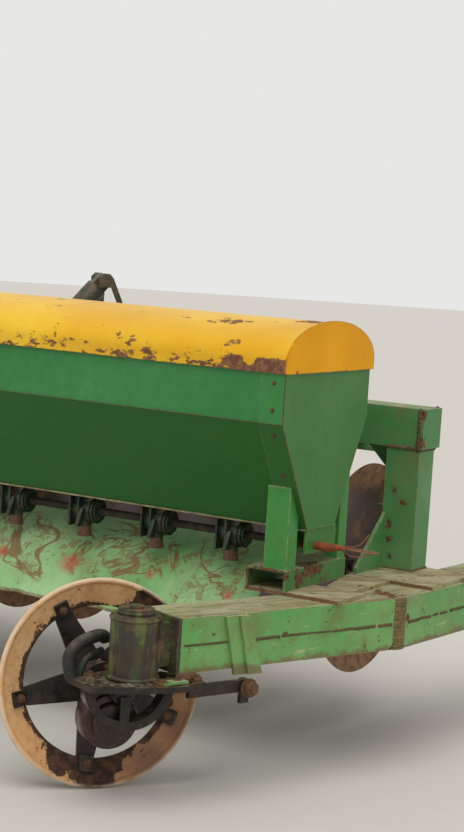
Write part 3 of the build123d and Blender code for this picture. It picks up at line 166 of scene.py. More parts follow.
class Finish:
    """A material under construction, with short calls for the nodes that the paints share."""

    def __init__(self, name, roughness=0.6, metallic=0.0, specular=None):
        self.material = bpy.data.materials.new(name)
        self.material.use_nodes = True
        self.nodes = self.material.node_tree.nodes
        self.links = self.material.node_tree.links
        self.shader = self.nodes["Principled BSDF"]
        self.shader.inputs["Roughness"].default_value = roughness
        self.shader.inputs["Metallic"].default_value = metallic
        if specular is not None:
            self.shader.inputs["Specular IOR Level"].default_value = specular
        self.place = self.nodes.new("ShaderNodeTexCoord").outputs["Object"]
        self.colour = None

    def put(self, socket, value):
        """Link a node's output into a socket, or write a plain value there."""
        if isinstance(value, bpy.types.NodeSocket):
            self.links.new(value, socket)
        else:
            socket.default_value = value

    def node(self, kind, output, inputs=(), **settings):
        """One node with its settings and inputs. The named output is handed back."""
        made = self.nodes.new("ShaderNode" + kind)
        for name, value in settings.items():
            setattr(made, name, value)
        for name, value in dict(inputs).items():
            self.put(made.inputs[name], value)
        return made.outputs[output]

    def noise(self, vector, scale, detail, rough=0.5, warp=0.0):
        """Noise from about 0.3 to 0.7 along a vector."""
        return self.node("TexNoise", "Fac", {"Vector": vector, "Scale": scale, "Detail": detail,
                                             "Roughness": rough, "Distortion": warp})

    def clouds(self, scale, detail=4.0, rough=0.55, stretch=(1.0, 1.0, 1.0), shift=0.0, warp=0.0):
        """Cloudy noise, stretched along the axes if asked."""
        moved = self.node("Mapping", "Vector", {"Vector": self.place, "Scale": stretch,
                                                "Location": (shift, shift * 0.7, -shift)})
        return self.noise(moved, scale, detail, rough, warp)

    def streaks(self, scale, length, angle, shift=0.0):
        """Cloudy noise drawn out along a direction on the ground, `length` times as long as wide."""
        drawn = self.node("Mapping", "Vector", {
            "Vector": self.place, "Scale": (length, 1.0, 1.0), "Rotation": (0.0, 0.0, angle),
            "Location": (shift, 0.0, shift)}, vector_type="TEXTURE")
        return self.noise(drawn, scale, 5.0, 0.65)

    def patches(self, value, low, high):
        """Stretch the span from low to high over 0 to 1: a narrow span gives sharp patches."""
        return self.node("MapRange", "Result", {"From Min": low, "From Max": high, "Value": value})

    def cut(self, low, high, *noise, **more):
        """Clouds cut into patches between two levels."""
        return self.patches(self.clouds(*noise, **more), low, high)

    def step(self, kind, first, second=0.0, clamp=False):
        """One step of arithmetic on two masks."""
        return self.node("Math", "Value", {0: first, 1: second}, operation=kind, use_clamp=clamp)

    def times(self, first, second):
        """Both masks together, or a mask made weaker."""
        return self.step("MULTIPLY", first, second, True)

    def plus(self, first, second):
        """Two masks added, up to 1."""
        return self.step("ADD", first, second, True)

    def minus(self, first, second):
        """The first mask less the second, down to 0."""
        return self.step("SUBTRACT", first, second, True)

    def either(self, first, second):
        """The stronger of two masks."""
        return self.step("MAXIMUM", first, second)

    def blend(self, mask, below, above):
        """One colour over another, where the mask is 1."""
        below, above = (colour if isinstance(colour, bpy.types.NodeSocket) else (*srgb(*colour), 1.0)
                        for colour in (below, above))
        return self.node("Mix", "Result", {"Factor": mask, "A": below, "B": above}, data_type="RGBA")

    def lay(self, mask, above, share=None):
        """Lay a colour over the coats so far, where the mask is 1, and only by a share if asked."""
        self.colour = self.blend(mask if share is None else self.times(mask, share), self.colour, above)

    def part(self, vector, axis):
        """One coordinate of a vector."""
        return self.node("SeparateXYZ", axis, {0: vector})

    def faces(self, axis, low, high):
        """A mask of the faces whose normal has a coordinate between two values."""
        return self.patches(self.part(self.node("NewGeometry", "Normal"), axis), low, high)

    def looks_up(self, low=0.55, high=0.95):
        """1 on faces that look up, where dust settles."""
        return self.faces("Z", low, high)

    def height(self, low, high):
        """0 at the low height and 1 at the high one, in metres above the ground."""
        return self.patches(self.part(self.place, "Z"), low, high)

    def away(self, point, place=None):
        """The distance from a point, in metres."""
        place = self.place if place is None else place
        return self.node("VectorMath", "Value", {0: place, 1: point}, operation="DISTANCE")

    def near(self, around, soft=0.6):
        """1 around each of a few (point, radius) spots, fading out towards the radius."""
        mask = 0.0
        for point, radius in around:
            mask = self.either(mask, self.patches(self.away(point), radius, radius * (1.0 - soft)))
        return mask

    def worn_edges(self, radius):
        """1 near outer and inner edges, by how far a rounded normal leaves the flat one."""
        round_normal = self.node("Bevel", "Normal", {"Radius": radius}, samples=4)
        flat_normal = self.node("NewGeometry", "Normal")
        inputs = {0: round_normal, 1: flat_normal}
        return self.patches(self.node("VectorMath", "Value", inputs, operation="DOT_PRODUCT"), 0.995, 0.85)

    def relief(self, value, distance):
        """Raise the surface by a mask, in metres, and set the result as its normal."""
        raised = self.node("Bump", "Normal", {"Distance": distance, "Strength": 1.0, "Height": value})
        self.links.new(raised, self.shader.inputs["Normal"])

    def finish(self, roughness):
        """Wire up the coats and the roughness."""
        self.put(self.shader.inputs["Base Color"], self.colour)
        self.put(self.shader.inputs["Roughness"], roughness)
        return self.material


print("finish kit ready")

# %% [markdown]
# Nearly every plate here wears the same history: green paint that has faded in clouds, dust lying on
# whatever looks up, rust that starts at the edges and at random stone chips, and thin dirty runs below.
# One recipe with a few dials makes all of these: the beams are faded and dusty, the seed box is still deep
# green and clean.

# %% The recipe for old paint on steel
RUST_DARK, RUST_WARM, PALE_DUST = (76, 52, 38), (124, 84, 56), (176, 168, 138)


def old_paint(name, fresh, faded, dirt, dust=0.5, chips=0.35, runs=0.3, gloss=0.45, grime=0.3, edge=0.004,
              below=None, rusty=(), along=None, pale=0.5, foot=None, scratched=0.0, front=None):
    """Faded paint with dust on top faces, chips that show rust, dirty runs and soft waves in the plate."""
    coat = Finish(name, specular=0.3)
    coat.colour = coat.blend(coat.cut(0.36, 0.64, 1.9, 3.0, 0.6), fresh, faded)
    # Faces that look forward take the first colour, faces that look down the second. On the end plates these
    # are painted light and painted shade. On the plate stacks the first is rust on the front edges and the
    # second painted shade.
    if front:
        coat.lay(coat.faces("Y", -0.4, -0.8), front[0])
        coat.lay(coat.faces("Z", -0.3, -0.5), front[1])
    # Below the given height the colour turns deeper: painted shade on the seed box's lower panel, which leans
    # out and faces down.
    if below:
        coat.lay(coat.height(below[0] + 0.001, below[0] - 0.001), below[1])
    coat.lay(coat.cut(0.42, 0.72, 38.0, 6.0, 0.68, shift=3.0), dirt, 0.32)
    coat.lay(coat.cut(0.52, 0.72, 9.0, 5.0, 0.7, (1.0, 1.0, 0.12), 7.0), dirt, runs)
    coat.lay(coat.cut(0.5, 0.68, 5.0, 6.0, 0.72, shift=11.0), RUST_WARM, grime)
    if scratched:
        marks = coat.cut(0.625, 0.64, 34.0, 6.0, 0.7, (0.35, 0.35, 1.6), 37.0, 0.4)
        coat.lay(marks, (178, 186, 132), scratched)
    if foot:
        rising = coat.times(coat.height(foot[1], foot[0]), 0.34)
        splash = coat.patches(coat.plus(coat.clouds(18.0, 6.0, 0.7, shift=43.0), rising), 0.60, 0.76)
        coat.lay(splash, (116, 98, 66), 0.8)
    broken = coat.cut(0.62 - dust * 0.4, 0.72 - dust * 0.25, 16.0, 7.0, 0.7, shift=5.0)
    dust_mask = coat.times(coat.looks_up(), broken)
    dust_colour = PALE_DUST
    if along is not None:
        dragged = coat.patches(coat.streaks(26.0, 9.0, along), 0.42, 0.62)
        crumbs = coat.patches(coat.streaks(55.0, 4.0, along, shift=3.0), 0.56, 0.66)
        swept = coat.cut(0.61, 0.68, 6.0, 7.0, 0.72, shift=9.0)
        for mask, colour in ((dragged, (136, 118, 84)), (crumbs, (96, 92, 60)), (swept, fresh)):
            dust_colour = coat.blend(mask, dust_colour, colour)
    coat.lay(dust_mask, dust_colour, min(1.0, 0.45 + dust * 0.5))
    # Pale edges: rubbed paint, and also a painted highlight along the edges.
    rubbed_and_highlit = coat.times(coat.worn_edges(edge * 1.3), coat.cut(0.40, 0.55, 22.0, 5.0, 0.7, shift=27.0))
    coat.lay(rubbed_and_highlit, (196, 186, 150), pale)
    rusted_edge = coat.times(coat.worn_edges(edge), coat.cut(0.42, 0.58, 48.0, 5.0, 0.7, shift=2.0))
    stone_chips = coat.clouds(21.0, 9.0, 0.74, shift=17.0)
    if rusty:
        stone_chips = coat.plus(stone_chips, coat.times(coat.near(rusty, 0.9), 0.22))
    stone_chips = coat.patches(stone_chips, 0.725 - chips * 0.16, 0.735 - chips * 0.15)
    bare = coat.either(coat.times(rusted_edge, min(1.0, chips * 2.2)), stone_chips)
    coat.lay(bare, coat.blend(coat.cut(0.4, 0.6, 70.0, 5.0, 0.6), RUST_DARK, RUST_WARM))
    waves = coat.times(coat.clouds(3.2, 2.0, 0.5, shift=23.0), 2.5)
    surface = coat.step("ADD", waves, coat.times(coat.clouds(160.0, 4.0, 0.7), 0.35))
    coat.relief(coat.step("SUBTRACT", surface, coat.times(bare, 0.6)), 0.0016)
    return coat.finish(coat.plus(coat.times(coat.either(bare, dust_mask), 0.9 - gloss), gloss))


# Below its bend at 1.098 m the seed box's lower panel is a darker green: painted shade.
hopper_green = old_paint(
    "hopper_green", (46, 124, 62), (64, 138, 76), (40, 98, 44), dust=0.35, chips=0.30, runs=0.22, gloss=0.40,
    grime=0.04, edge=0.003, below=(1.098, (30, 99, 29)))
# The end plates' front flanges are a brighter green where they face forward and a darker one where they face
# down: painted light and painted shade.
end_green = old_paint(
    "end_green", (50, 115, 46), (70, 130, 58), (48, 94, 40), dust=0.35, chips=0.34, runs=0.2, gloss=0.42,
    grime=0.06, front=((56, 136, 66), (44, 104, 42)))
beam_green = old_paint(
    "beam_green", (80, 158, 82), (120, 172, 102), (118, 124, 78), dust=0.95, chips=0.62, gloss=0.48,
    grime=0.5, along=math.radians(68.6), foot=(0.403, 0.432), scratched=0.8, rusty=spots((
        (200, 400, 483, 0.09), (190, 395, 550, 0.08), (212, 390, 420, 0.07), (170, 330, 500, 0.05),
        (-10, -20, 405, 0.10), (150, 300, 405, 0.10))))
gantry_green = old_paint(
    "gantry_green", (66, 132, 72), (110, 156, 104), (104, 112, 76), dust=0.6, chips=0.47, runs=0.38,
    gloss=0.5, grime=0.42, along=0.0, pale=0.8, rusty=spots((
        (12, 766, 720, 0.035), (12, 766, 670, 0.035), (12, 766, 620, 0.035), (15, 766, 840, 0.03),
        (50, 766, 800, 0.02), (100, 766, 1010, 0.045), (100, 766, 1090, 0.03))))
# The plates' front edges are brown rust. Their faces that look down are a darker brown, painted shade.
plate_stack = old_paint(
    "plate_stack", (146, 160, 106), (172, 166, 120), (118, 98, 70), dust=0.95, chips=0.85, gloss=0.55,
    grime=0.8, along=math.radians(40), front=((118, 88, 64), (92, 72, 52)))
stand_green = old_paint(
    "stand_green", (62, 142, 66), (78, 152, 76), (66, 100, 48), chips=0.34, runs=0.2, grime=0.12, pale=0.95)
channel_green = old_paint(
    "channel_green", (56, 122, 56), (84, 140, 76), (84, 84, 52), dust=0.7, chips=0.60, gloss=0.5, grime=0.55,
    along=0.0, pale=0.9, rusty=spots((
        (-130, 110, 630, 0.05), (-70, 110, 636, 0.07), (-20, 110, 628, 0.05), (-120, 110, 580, 0.05),
        (-15, 240, 632, 0.07), (-15, 300, 625, 0.08), (-15, 200, 600, 0.04))))
print("green paints are mixed")

# %% [markdown]
# The apron is the sheet under the seed box. Thin rust lines branch over it like roots, and red primer shows
# in a few soft spots. A noise that is read only where it crosses its middle value leaves such lines.

# %% Apron with rust roots
ROOT_SPOTS = spots((
    (-1211, 286, 569, 0.16), (-1094, 311, 589, 0.12), (-960, 296, 576, 0.12), (-1060, 225, 505, 0.10),
    (-798, 372, 627, 0.09), (-765, 305, 585, 0.10), (-675, 276, 561, 0.12), (-598, 306, 585, 0.12),
    (-446, 312, 590, 0.14), (-300, 310, 588, 0.14), (-406, 227, 508, 0.10), (-350, 270, 555, 0.12),
    (-851, 247, 532, 0.08), (-815, 215, 490, 0.07), (-1500, 290, 570, 0.2), (-1900, 270, 555, 0.2)))
RED_SPOTS = spots((
    (-913, 238, 520, 0.050), (-913, 240, 522, 0.040), (-1196, 238, 520, 0.034), (-592, 243, 527, 0.022),
    (-282, 227, 507, 0.026)))


def crossing(coat, noise, width):
    """1 where a noise crosses its middle value: a thin wandering line."""
    return coat.patches(coat.step("ABSOLUTE", coat.step("SUBTRACT", noise, 0.5)), width, width * 0.35)


def apron_finish():
    """Pale green sheet, root-like rust lines, brown clouds round them and small red spots."""
    coat = Finish("apron_green", specular=0.3)
    coat.colour = coat.blend(coat.cut(0.38, 0.62, 2.6, 4.0, 0.6), (126, 184, 113), (170, 214, 155))
    coat.lay(coat.cut(0.48, 0.7, 7.0, 6.0, 0.7, (1.0, 0.35, 0.35), 4.0), (138, 146, 96), 0.35)
    rooted = coat.near(ROOT_SPOTS, 0.8)
    thick = crossing(coat, coat.clouds(3.4, shift=9.0, warp=0.9), 0.017)
    thin = crossing(coat, coat.clouds(7.0, 3.0, 0.5, shift=2.0, warp=1.0), 0.014)
    thin = coat.times(thin, coat.times(coat.cut(0.42, 0.50, 8.0, 5.0, 0.6, shift=51.0), 0.9))
    roots = coat.times(coat.either(thick, thin), coat.patches(rooted, 0.02, 0.4))
    ragged = coat.plus(coat.clouds(26.0, 7.0, 0.72, shift=13.0), coat.times(rooted, 0.12))
    rust_mask = coat.either(roots, coat.times(coat.patches(ragged, 0.62, 0.66), 0.7))
    cloud = coat.times(rooted, coat.cut(0.46, 0.62, 9.0, 7.0, 0.7, shift=33.0))
    coat.lay(cloud, (150, 132, 92), 0.45)
    coat.lay(rust_mask, (138, 98, 66), 0.85)
    primer = coat.times(coat.near(RED_SPOTS, 0.9), coat.cut(0.24, 0.45, 40.0, 5.0))
    coat.lay(primer, (196, 78, 66), 0.85)
    coat.lay(coat.times(coat.worn_edges(0.008), coat.cut(0.36, 0.6, 30.0)), (168, 132, 96))
    coat.relief(coat.clouds(4.0, 4.0, 0.6, shift=2.0), 0.006)
    return coat.finish(coat.plus(coat.times(rust_mask, 0.3), 0.5))


apron_green = apron_finish()
print("apron finish is mixed")

# %% [markdown]
# The lid's yellow has flaked off its brown primer in small sharp chips: many along the front lip and the
# ends, few on the crown. Chips are a fine noise cut at a hard threshold. The noise is raised near the
# lip, so that the flakes crowd there.

# %% Yellow lid with flaked paint
FLAKED = spots((
    (-339, 129, 1372, 0.040), (-300, 134, 1375, 0.045), (-262, 142, 1378, 0.045), (-223, 153, 1381, 0.035),
    (-307, 48, 1326, 0.022), (-290, 40, 1320, 0.018), (-174, 36, 1317, 0.022), (-188, 30, 1312, 0.016),
    (-86, 221, 1398, 0.030), (-69, 268, 1402, 0.050), (-40, 268, 1402, 0.055), (-30, 230, 1400, 0.05),
    (-488, 170, 1386, 0.016), (-616, 24, 1307, 0.030), (-560, 18, 1301, 0.035), (-700, 22, 1306, 0.025),
    (-848, 20, 1304, 0.030), (-412, 26, 1308, 0.030)))
WHOLE_CORNER = spots(((-125, 2, 1287, 0.030),))


def lid_finish(name, sunny, deep, chip_level, foot, crown, flaked=(), shine=0.3):
    """Yellow paint with brown flakes that crowd towards the lip and in a few known places."""
    coat = Finish(name, specular=shine)
    coat.colour = coat.blend(coat.cut(0.36, 0.64, 2.4, 3.0), deep, sunny)
    coat.lay(coat.cut(0.46, 0.7, 26.0, 6.0, 0.7, shift=6.0), (200, 156, 60), shine * 0.5)
    lip = coat.minus(1.0, coat.height(foot, crown))
    flakes = coat.plus(coat.clouds(19.0, 10.0, 0.78, (0.7, 1.0, 1.3), 19.0), coat.times(lip, 0.10))
    if flaked:
        flakes = coat.plus(flakes, coat.times(coat.near(flaked, 0.75), 0.17))
        bare_end = coat.patches(coat.part(coat.place, "X"), at(-240, 0, 0).x, at(-150, 0, 0).x)
        bare_band = coat.times(bare_end, coat.height(1.298, 1.286))
        flakes = coat.plus(flakes, coat.times(bare_band, 0.24))
        flakes = coat.minus(flakes, coat.times(coat.near(WHOLE_CORNER, 0.4), 0.30))
    bare = coat.patches(flakes, chip_level, chip_level + 0.012)
    coat.lay(bare, coat.blend(coat.cut(0.4, 0.6, 60.0), (104, 68, 50), (142, 98, 72)))
    coat.lay(coat.times(coat.worn_edges(0.005), coat.cut(0.40, 0.52, 34.0, 6.0, 0.7)), RUST_WARM)
    coat.relief(coat.minus(coat.clouds(5.0, 3.0, 0.5, shift=3.0), coat.times(bare, 0.25)), 0.0022)
    return coat.finish(coat.plus(coat.times(bare, 0.35), 0.40))


lid_yellow = lid_finish("lid_yellow", (240, 194, 44), (226, 170, 16), 0.615, 1.262, 1.310, FLAKED)
cap_yellow = lid_finish("cap_yellow", (244, 174, 0), (228, 158, 0), 0.66, 1.250, 1.275, shine=0.08)
print("yellow paints are mixed")

# %% [markdown]
# The undercarriage is bare or oily. Bearings and knuckles are black with grease that has caught dust, the
# cups' castings break into rust towards their feet, and the feed shaft's free end is plain rust. One recipe
# with three tones serves them all. The kingpins' housings get their own: old green drowned in grease.

# %% Oily, greased and rusty metals


def bare_metal(name, tones, roughness, metallic, scale, relief, dust=0.0, gleam=0.0, rust_below=None):
    """Three tones of worn metal in clouds, with dust on top faces and gleaming grease in patches."""
    coat = Finish(name, roughness, metallic)
    coat.colour = coat.blend(coat.cut(0.38, 0.62, scale, 6.0, 0.68), tones[0], tones[1])
    coat.lay(coat.cut(0.50, 0.66, scale * 3.1, 7.0, 0.7, shift=8.0), tones[2])
    if rust_below is not None:
        low = coat.times(coat.height(rust_below + 0.02, rust_below), 0.30)
        rusted = coat.plus(coat.clouds(20.0, 6.0, 0.7, shift=19.0), low)
        coat.lay(coat.patches(rusted, 0.60, 0.68), (104, 72, 52))
    dusty = coat.times(coat.looks_up(0.35, 0.95), coat.cut(0.42, 0.62, 30.0, 6.0, 0.7, shift=4.0))
    coat.lay(dusty, (150, 136, 110), dust)
    wet = coat.cut(0.46, 0.60, 13.0, 4.0, 0.6, shift=12.0)
    coat.relief(coat.clouds(scale * 6.0, 6.0, 0.7), relief)
    return coat.finish(coat.either(coat.minus(roughness, coat.times(wet, gleam)), coat.times(dusty, 0.8)))


def housing_finish():
    """Old green on a casting, drowned in brown grease that has run down in streaks."""
    coat = Finish("housing_paint", specular=0.35)
    drawn = coat.cut(0.44, 0.60, 26.0, 4.0, 0.6, (1.0, 1.0, 0.10), 5.0)
    coat.colour = coat.blend(drawn, (66, 58, 48), (92, 112, 56))
    coat.lay(coat.cut(0.50, 0.66, 40.0, 6.0, 0.7, (1.0, 1.0, 0.3)), (104, 82, 62))
    coat.lay(coat.cut(0.60, 0.68, 20.0, 3.0, 0.6, (1.0, 1.0, 0.08), 21.0), (150, 80, 40), 0.8)
    grease = coat.cut(0.47, 0.56, 9.0, 7.0, 0.72, shift=15.0)
    coat.lay(grease, (52, 44, 40), 0.75)
    coat.lay(coat.times(coat.looks_up(), coat.cut(0.40, 0.6, 30.0, 6.0, 0.7)), (112, 98, 76), 0.5)
    coat.relief(coat.clouds(55.0, 6.0, 0.7), 0.0014)
    return coat.finish(coat.minus(0.66, coat.times(grease, 0.2)))


oily_iron = bare_metal("oily_iron", ((27, 27, 23), (44, 38, 31), (68, 50, 38)), 0.55, 0.3, 9.0, 0.0012,
                       dust=0.5, gleam=0.34)
lift_iron = bare_metal("lift_iron", ((54, 60, 46), (82, 76, 62), (112, 90, 68)), 0.6, 0.1, 10.0, 0.0012,
                       dust=0.45, gleam=0.2)
cup_iron = bare_metal("cup_iron", ((24, 44, 30), (42, 62, 44), (74, 62, 46)), 0.45, 0.15, 14.0, 0.0010,
                      dust=0.6, gleam=0.25, rust_below=0.640)
rusty_steel = bare_metal("rusty_steel", ((120, 74, 48), (146, 94, 62), (92, 58, 42)), 0.85, 0.1, 22.0, 0.0012,
                         dust=0.3)
bright_rod = bare_metal("bright_rod", ((186, 186, 184), (170, 170, 168), (150, 146, 138)), 0.22, 0.9, 8.0,
                        0.0001)
housing_paint = housing_finish()
print("bare metals are mixed")

# %% [markdown]
# A CAD node keeps its shape and only gets a better finish: the material goes into its object's slots. The
# discs and the wheels' rings are left for later, because their wear needs finishes of its own.

# %% Paint the CAD nodes
NODE_FINISHES = (
    (hopper_green, "seed_box_trough box_hinge_ears"),
    (end_green, "seed_box_end_right seed_box_end_left box_end_bracket"),
    (beam_green, "front_beam_upper front_beam_lower rear_beam_upper rear_beam_lower tongue_clevis tongue "
                 "steering_anchor"),
    (plate_stack, "beam_top_plates_right beam_top_plates_left"),
    (gantry_green, "main_beam main_beam_end_plates post_right post_left post_gussets corner_gussets "
                   "lift_outrigger gang_hangers scraper_bar"),
    (stand_green, "box_front_posts box_rear_posts"),
    (channel_green, "cross_channels apron_rail"),
    (apron_green, "apron"),
    (lid_yellow, "lid_sheet lid_hinge_knuckles"),
    (cap_yellow, "lid_caps"),
    (oily_iron, "gang_axle front_knuckle rear_knuckle front_wheel_centre rear_wheel_centre "
                "land_wheel_centre parking_stand hitch_eye"),
    (lift_iron, "lift_mast land_wheel_arm lift_cylinder"),
    (housing_paint, "front_kingpin_housing rear_kingpin_housing"),
    (cup_iron, "feed_cups"),
    (rusty_steel, "feed_shaft"),
    (bright_rod, "lift_rod"))
painted = set()
for finish, names in NODE_FINISHES:
    for name in names.split():
        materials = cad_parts[name].data.materials
        for index in range(len(materials)):
            materials[index] = finish
        painted.add(name)
print("painted", len(painted), "nodes; left for later:", sorted(set(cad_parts) - painted))

# %% [markdown]
# Bolts and weld beads repeat all over the machine. Each is modelled once, standing on the origin, and then
# copied wherever it sits. A place is a point, the direction its axis points in, and the direction its own X
# runs along. All copies on one body become one piece, with its own mesh.

# %% Helpers for small repeated parts


def only(thing):
    """Deselect everything else, so that an operator works on this piece alone."""
    bpy.ops.object.select_all(action="DESELECT")
    thing.select_set(True)
    bpy.context.view_layer.objects.active = thing
    return thing


def settled(thing):
    """Write a piece's place, turn and size into its mesh."""
    only(thing)
    bpy.ops.object.transform_apply(location=True, rotation=True, scale=True)
    return thing


def cylinder(vertices, radius, depth, **where):
    """A cylinder along Z, unless `where` turns it."""
    bpy.ops.mesh.primitive_cylinder_add(vertices=vertices, radius=radius, depth=depth, **where)
    return bpy.context.object


def block(size, **where):
    """A box with sides of these three lengths."""
    bpy.ops.mesh.primitive_cube_add(size=1.0, **where)
    bpy.context.object.scale = size
    return bpy.context.object


def rounded(part, width):
    """Bevel all edges of a piece in Edit mode."""
    settled(part)
    bpy.ops.object.mode_set(mode="EDIT")
    bpy.ops.mesh.select_all(action="SELECT")
    bpy.ops.mesh.bevel(offset=width, segments=2)
    bpy.ops.object.mode_set(mode="OBJECT")
    return part


def modified(thing, kind, **settings):
    """Add one modifier with its settings and apply it."""
    modifier = only(thing).modifiers.new(kind, kind)
    for name, value in settings.items():
        setattr(modifier, name, value)
    bpy.ops.object.modifier_apply(modifier=kind)
    return thing


def drawn(name, shape):
    """An object made of a bmesh, which is freed."""
    mesh = bpy.data.meshes.new(name)
    shape.to_mesh(mesh)
    shape.free()
    return placed(name, mesh)


def join(pieces):
    """Several fresh meshes become one object."""
    only(pieces[0])
    for other in pieces[1:]:
        other.select_set(True)
    bpy.ops.object.join()
    return bpy.context.object


def seat(thing, name, body, finish, smooth=None):
    """Name and paint a finished piece, fix its place in its mesh and let it ride on its body."""
    settled(thing)
    thing.name = name
    thing.data.materials.clear()
    thing.data.materials.append(finish)
    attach(thing, body)
    if smooth is not None:
        bpy.ops.object.shade_smooth_by_angle(angle=math.radians(smooth))
    return thing


def standing(point, axis, along=(1.0, 0.0, 0.0), size=1.0):
    """A place: Z along the axis, X as near to `along` as the axis allows."""
    up = Vector(axis).normalized()
    side = Vector(along) - up * up.dot(Vector(along))
    if side.length < 1e-6:
        side = up.orthogonal()
    side.normalize()
    turn = Matrix((side, up.cross(side), up)).transposed().to_4x4()
    return Matrix.Translation(point) @ turn @ Matrix.Scale(size, 4)


def copies(master, name, places, body, finish):
    """One piece made of a copy of the master at every place."""
    shape = bmesh.new()
    for place in places:
        before = len(shape.verts)
        shape.from_mesh(master.data)
        shape.verts.ensure_lookup_table()
        bmesh.ops.transform(shape, matrix=place, verts=shape.verts[before:])
    return seat(drawn(name, shape), name, body, finish, smooth=35)


# %% [markdown]
# The bolt: a washer, a hexagonal head with its corners knocked off, and a stub of thread. The end of a
# thread standing out of a nut would look much the same, so one master serves for both. It is 30 mm across
# its washer.

# %% Bolt master
rusty_bolt = bare_metal("rusty_bolt", ((96, 74, 54), (122, 84, 58), (64, 52, 42)), 0.7, 0.4, 60.0, 0.0004)
washer = settled(cylinder(20, 0.015, 0.003, location=(0, 0, 0.0012)))
head = settled(cylinder(6, 0.0125, 0.009, location=(0, 0, 0.0070)))
modified(head, "BEVEL", width=0.0012, segments=2)
thread = settled(cylinder(10, 0.006, 0.006, location=(0, 0, 0.0135)))
bolt_master = join([washer, head, thread])
bolt_master.name = "bolt_master"


def bolts(name, places, body):
    """Rusty bolts on one body."""
    return copies(bolt_master, name, places, body, rusty_bolt)


print("bolt master:", len(bolt_master.data.polygons), "faces")

# %% [markdown]
# A weld bead is a row of overlapping drops. The master is a single drop, a squashed sphere stretched across
# the seam. Rows of it, a few millimetres apart and a little uneven, read as a bead from any side.

# %% Weld drop master
bpy.ops.mesh.primitive_uv_sphere_add(segments=8, ring_count=5, radius=1.0)
drop_master = bpy.context.object
drop_master.name = "drop_master"
drop_master.scale = (0.0042, 0.0062, 0.0036)
settled(drop_master)


def bead(start, end, normal, width=1.0, pitch=4.6):
    """Places for the drops of a bead from start to end, on a surface that faces along normal."""
    count = max(2, int((end - start).length / (pitch * width / 1000.0)))
    run = (end - start).normalized()
    across = run.cross(Vector(normal)).normalized()
    places = []
    for step in range(count):
        wander = math.sin(step * 1.7 + start.x * 40.0) * 0.0006 * width
        size = width * (1.0 + 0.16 * math.sin(step * 2.3 + start.y * 30.0))
        point = start.lerp(end, step / (count - 1)) + across * wander
        places.append(standing(point, normal, run, size))
    return places


print("drop master:", len(drop_master.data.polygons), "faces")

# %% [markdown]
# The beams are lines on the ground plan: each leaves its kingpin, bends once and runs on. The next cell
# repeats those few points from the drawing, and gives a way to name a spot on a beam's side by how far it
# is from the kingpin, how far it stands out from the middle line, and its height.

# %% Places along the front beam
KINGPINS = {"front": (-173.0, -467.0), "rear": (-2565.0, 180.0)}
FRONT_KINGPIN = Vector((*KINGPINS["front"], 0.0))
FRONT_BEND = Vector((167.0, 400.0, 0.0))
FRONT_END = Vector((262.7, 1880.0, 0.0))
BEAM_HALF, BEAM_SEAM = 92.0, 483.0
near_run = (FRONT_BEND - FRONT_KINGPIN).normalized()
far_run = (FRONT_END - FRONT_BEND).normalized()
near_side, far_side = near_run.cross(UP), far_run.cross(UP)


def beside(run, side, height):
    """A spot beside the near leg, `run` from the kingpin and `side` to the right of the middle line."""
    return at(*(FRONT_KINGPIN + near_run * run + near_side * side + UP * height))


def beyond(run, side, height):
    """The same for the far leg, with `run` counted from the bend."""
    return at(*(FRONT_BEND + far_run * run + far_side * side + UP * height))


print("beam legs", [round(value, 3) for value in (*near_run, *far_run)])

# %% [markdown]
# The front beam's two channels are stitched together along the middle of its sides, the posts stand on
# fillets, and the main beam sits on its posts. At the front beam's bend the joint was filled with many
# passes, one beside the other, which show as a coarse rusty band.

# %% Welds on the frame
weld_steel = bare_metal("weld_steel", ((70, 66, 42), (104, 92, 60), (96, 64, 42)), 0.75, 0.15, 30.0, 0.0004)
weld_rust = bare_metal("weld_rust", ((108, 96, 60), (132, 114, 76), (86, 66, 44)), 0.85, 0.1, 30.0, 0.0008,
                       dust=0.3)


def stitches(place_of, start, stop, normal, seed):
    """A ragged seam: runs of bead, each of another length and thickness, with small gaps."""
    dice = random.Random(seed)
    drops = []
    run = start
    while run < stop - 20:
        reach = min(stop, run + dice.uniform(30, 110))
        ends = [place_of(spot, dice.uniform(-1.5, 1.5)) for spot in (run, reach)]
        drops += bead(*ends, normal, dice.uniform(0.5, 0.95))
        run = reach + dice.uniform(3, 24)
    return drops


seams = []
for side in (1, -1):
    seams += stitches(lambda run, jitter: beside(run, side * BEAM_HALF, BEAM_SEAM + jitter), 108, 905,
                      near_side * side, 5 + side)
    seams += stitches(lambda run, jitter: beyond(run, side * BEAM_HALF, BEAM_SEAM + jitter), 34, 1450,
                      far_side * side, 8 + side)
RIGHT_POST_X, LEFT_POST_X, POST_Y = (-21.0, 100.0), (-2462.5, -2341.5), (766.0, 876.0)
POST_FOOT, POST_TOP = 575.0, 985.0
for post_x in (RIGHT_POST_X, LEFT_POST_X):
    for height in (POST_FOOT, POST_TOP):
        for y, out in zip(POST_Y, (-1, 1)):
            seams += bead(at(post_x[0], y, height), at(post_x[1], y, height), (0, out, 0), 1.3)
        for x, out in zip(post_x, (-1, 1)):
            seams += bead(at(x, POST_Y[0], height), at(x, POST_Y[1], height), (out, 0, 0), 1.3)
for y, out in ((765.5, -1), (899.5, 1)):
    seams += bead(at(91, y, 986), at(91, y, 1117), (0, out, 0), 1.2)
for way in (-1, 1):
    seams += bead(beside(93, way * 60, 412), beside(93, way * 60, 555), near_side * way, 1.5)
copies(drop_master, "frame_weld_seams", seams, "frame", weld_steel)
bend_passes = []
for side in (1, -1):
    feet = [(beside(931 + side * 14 + offset, side * 92.5, 406), near_side) for offset in (-22, -13, -4)]
    feet += [(beyond(offset - side * 14, side * 92.5, 406), far_side) for offset in (5, 14)]
    for foot, out in feet:
        bend_passes += bead(foot, foot + UP * 0.155, out * side, 1.5, 5.0)
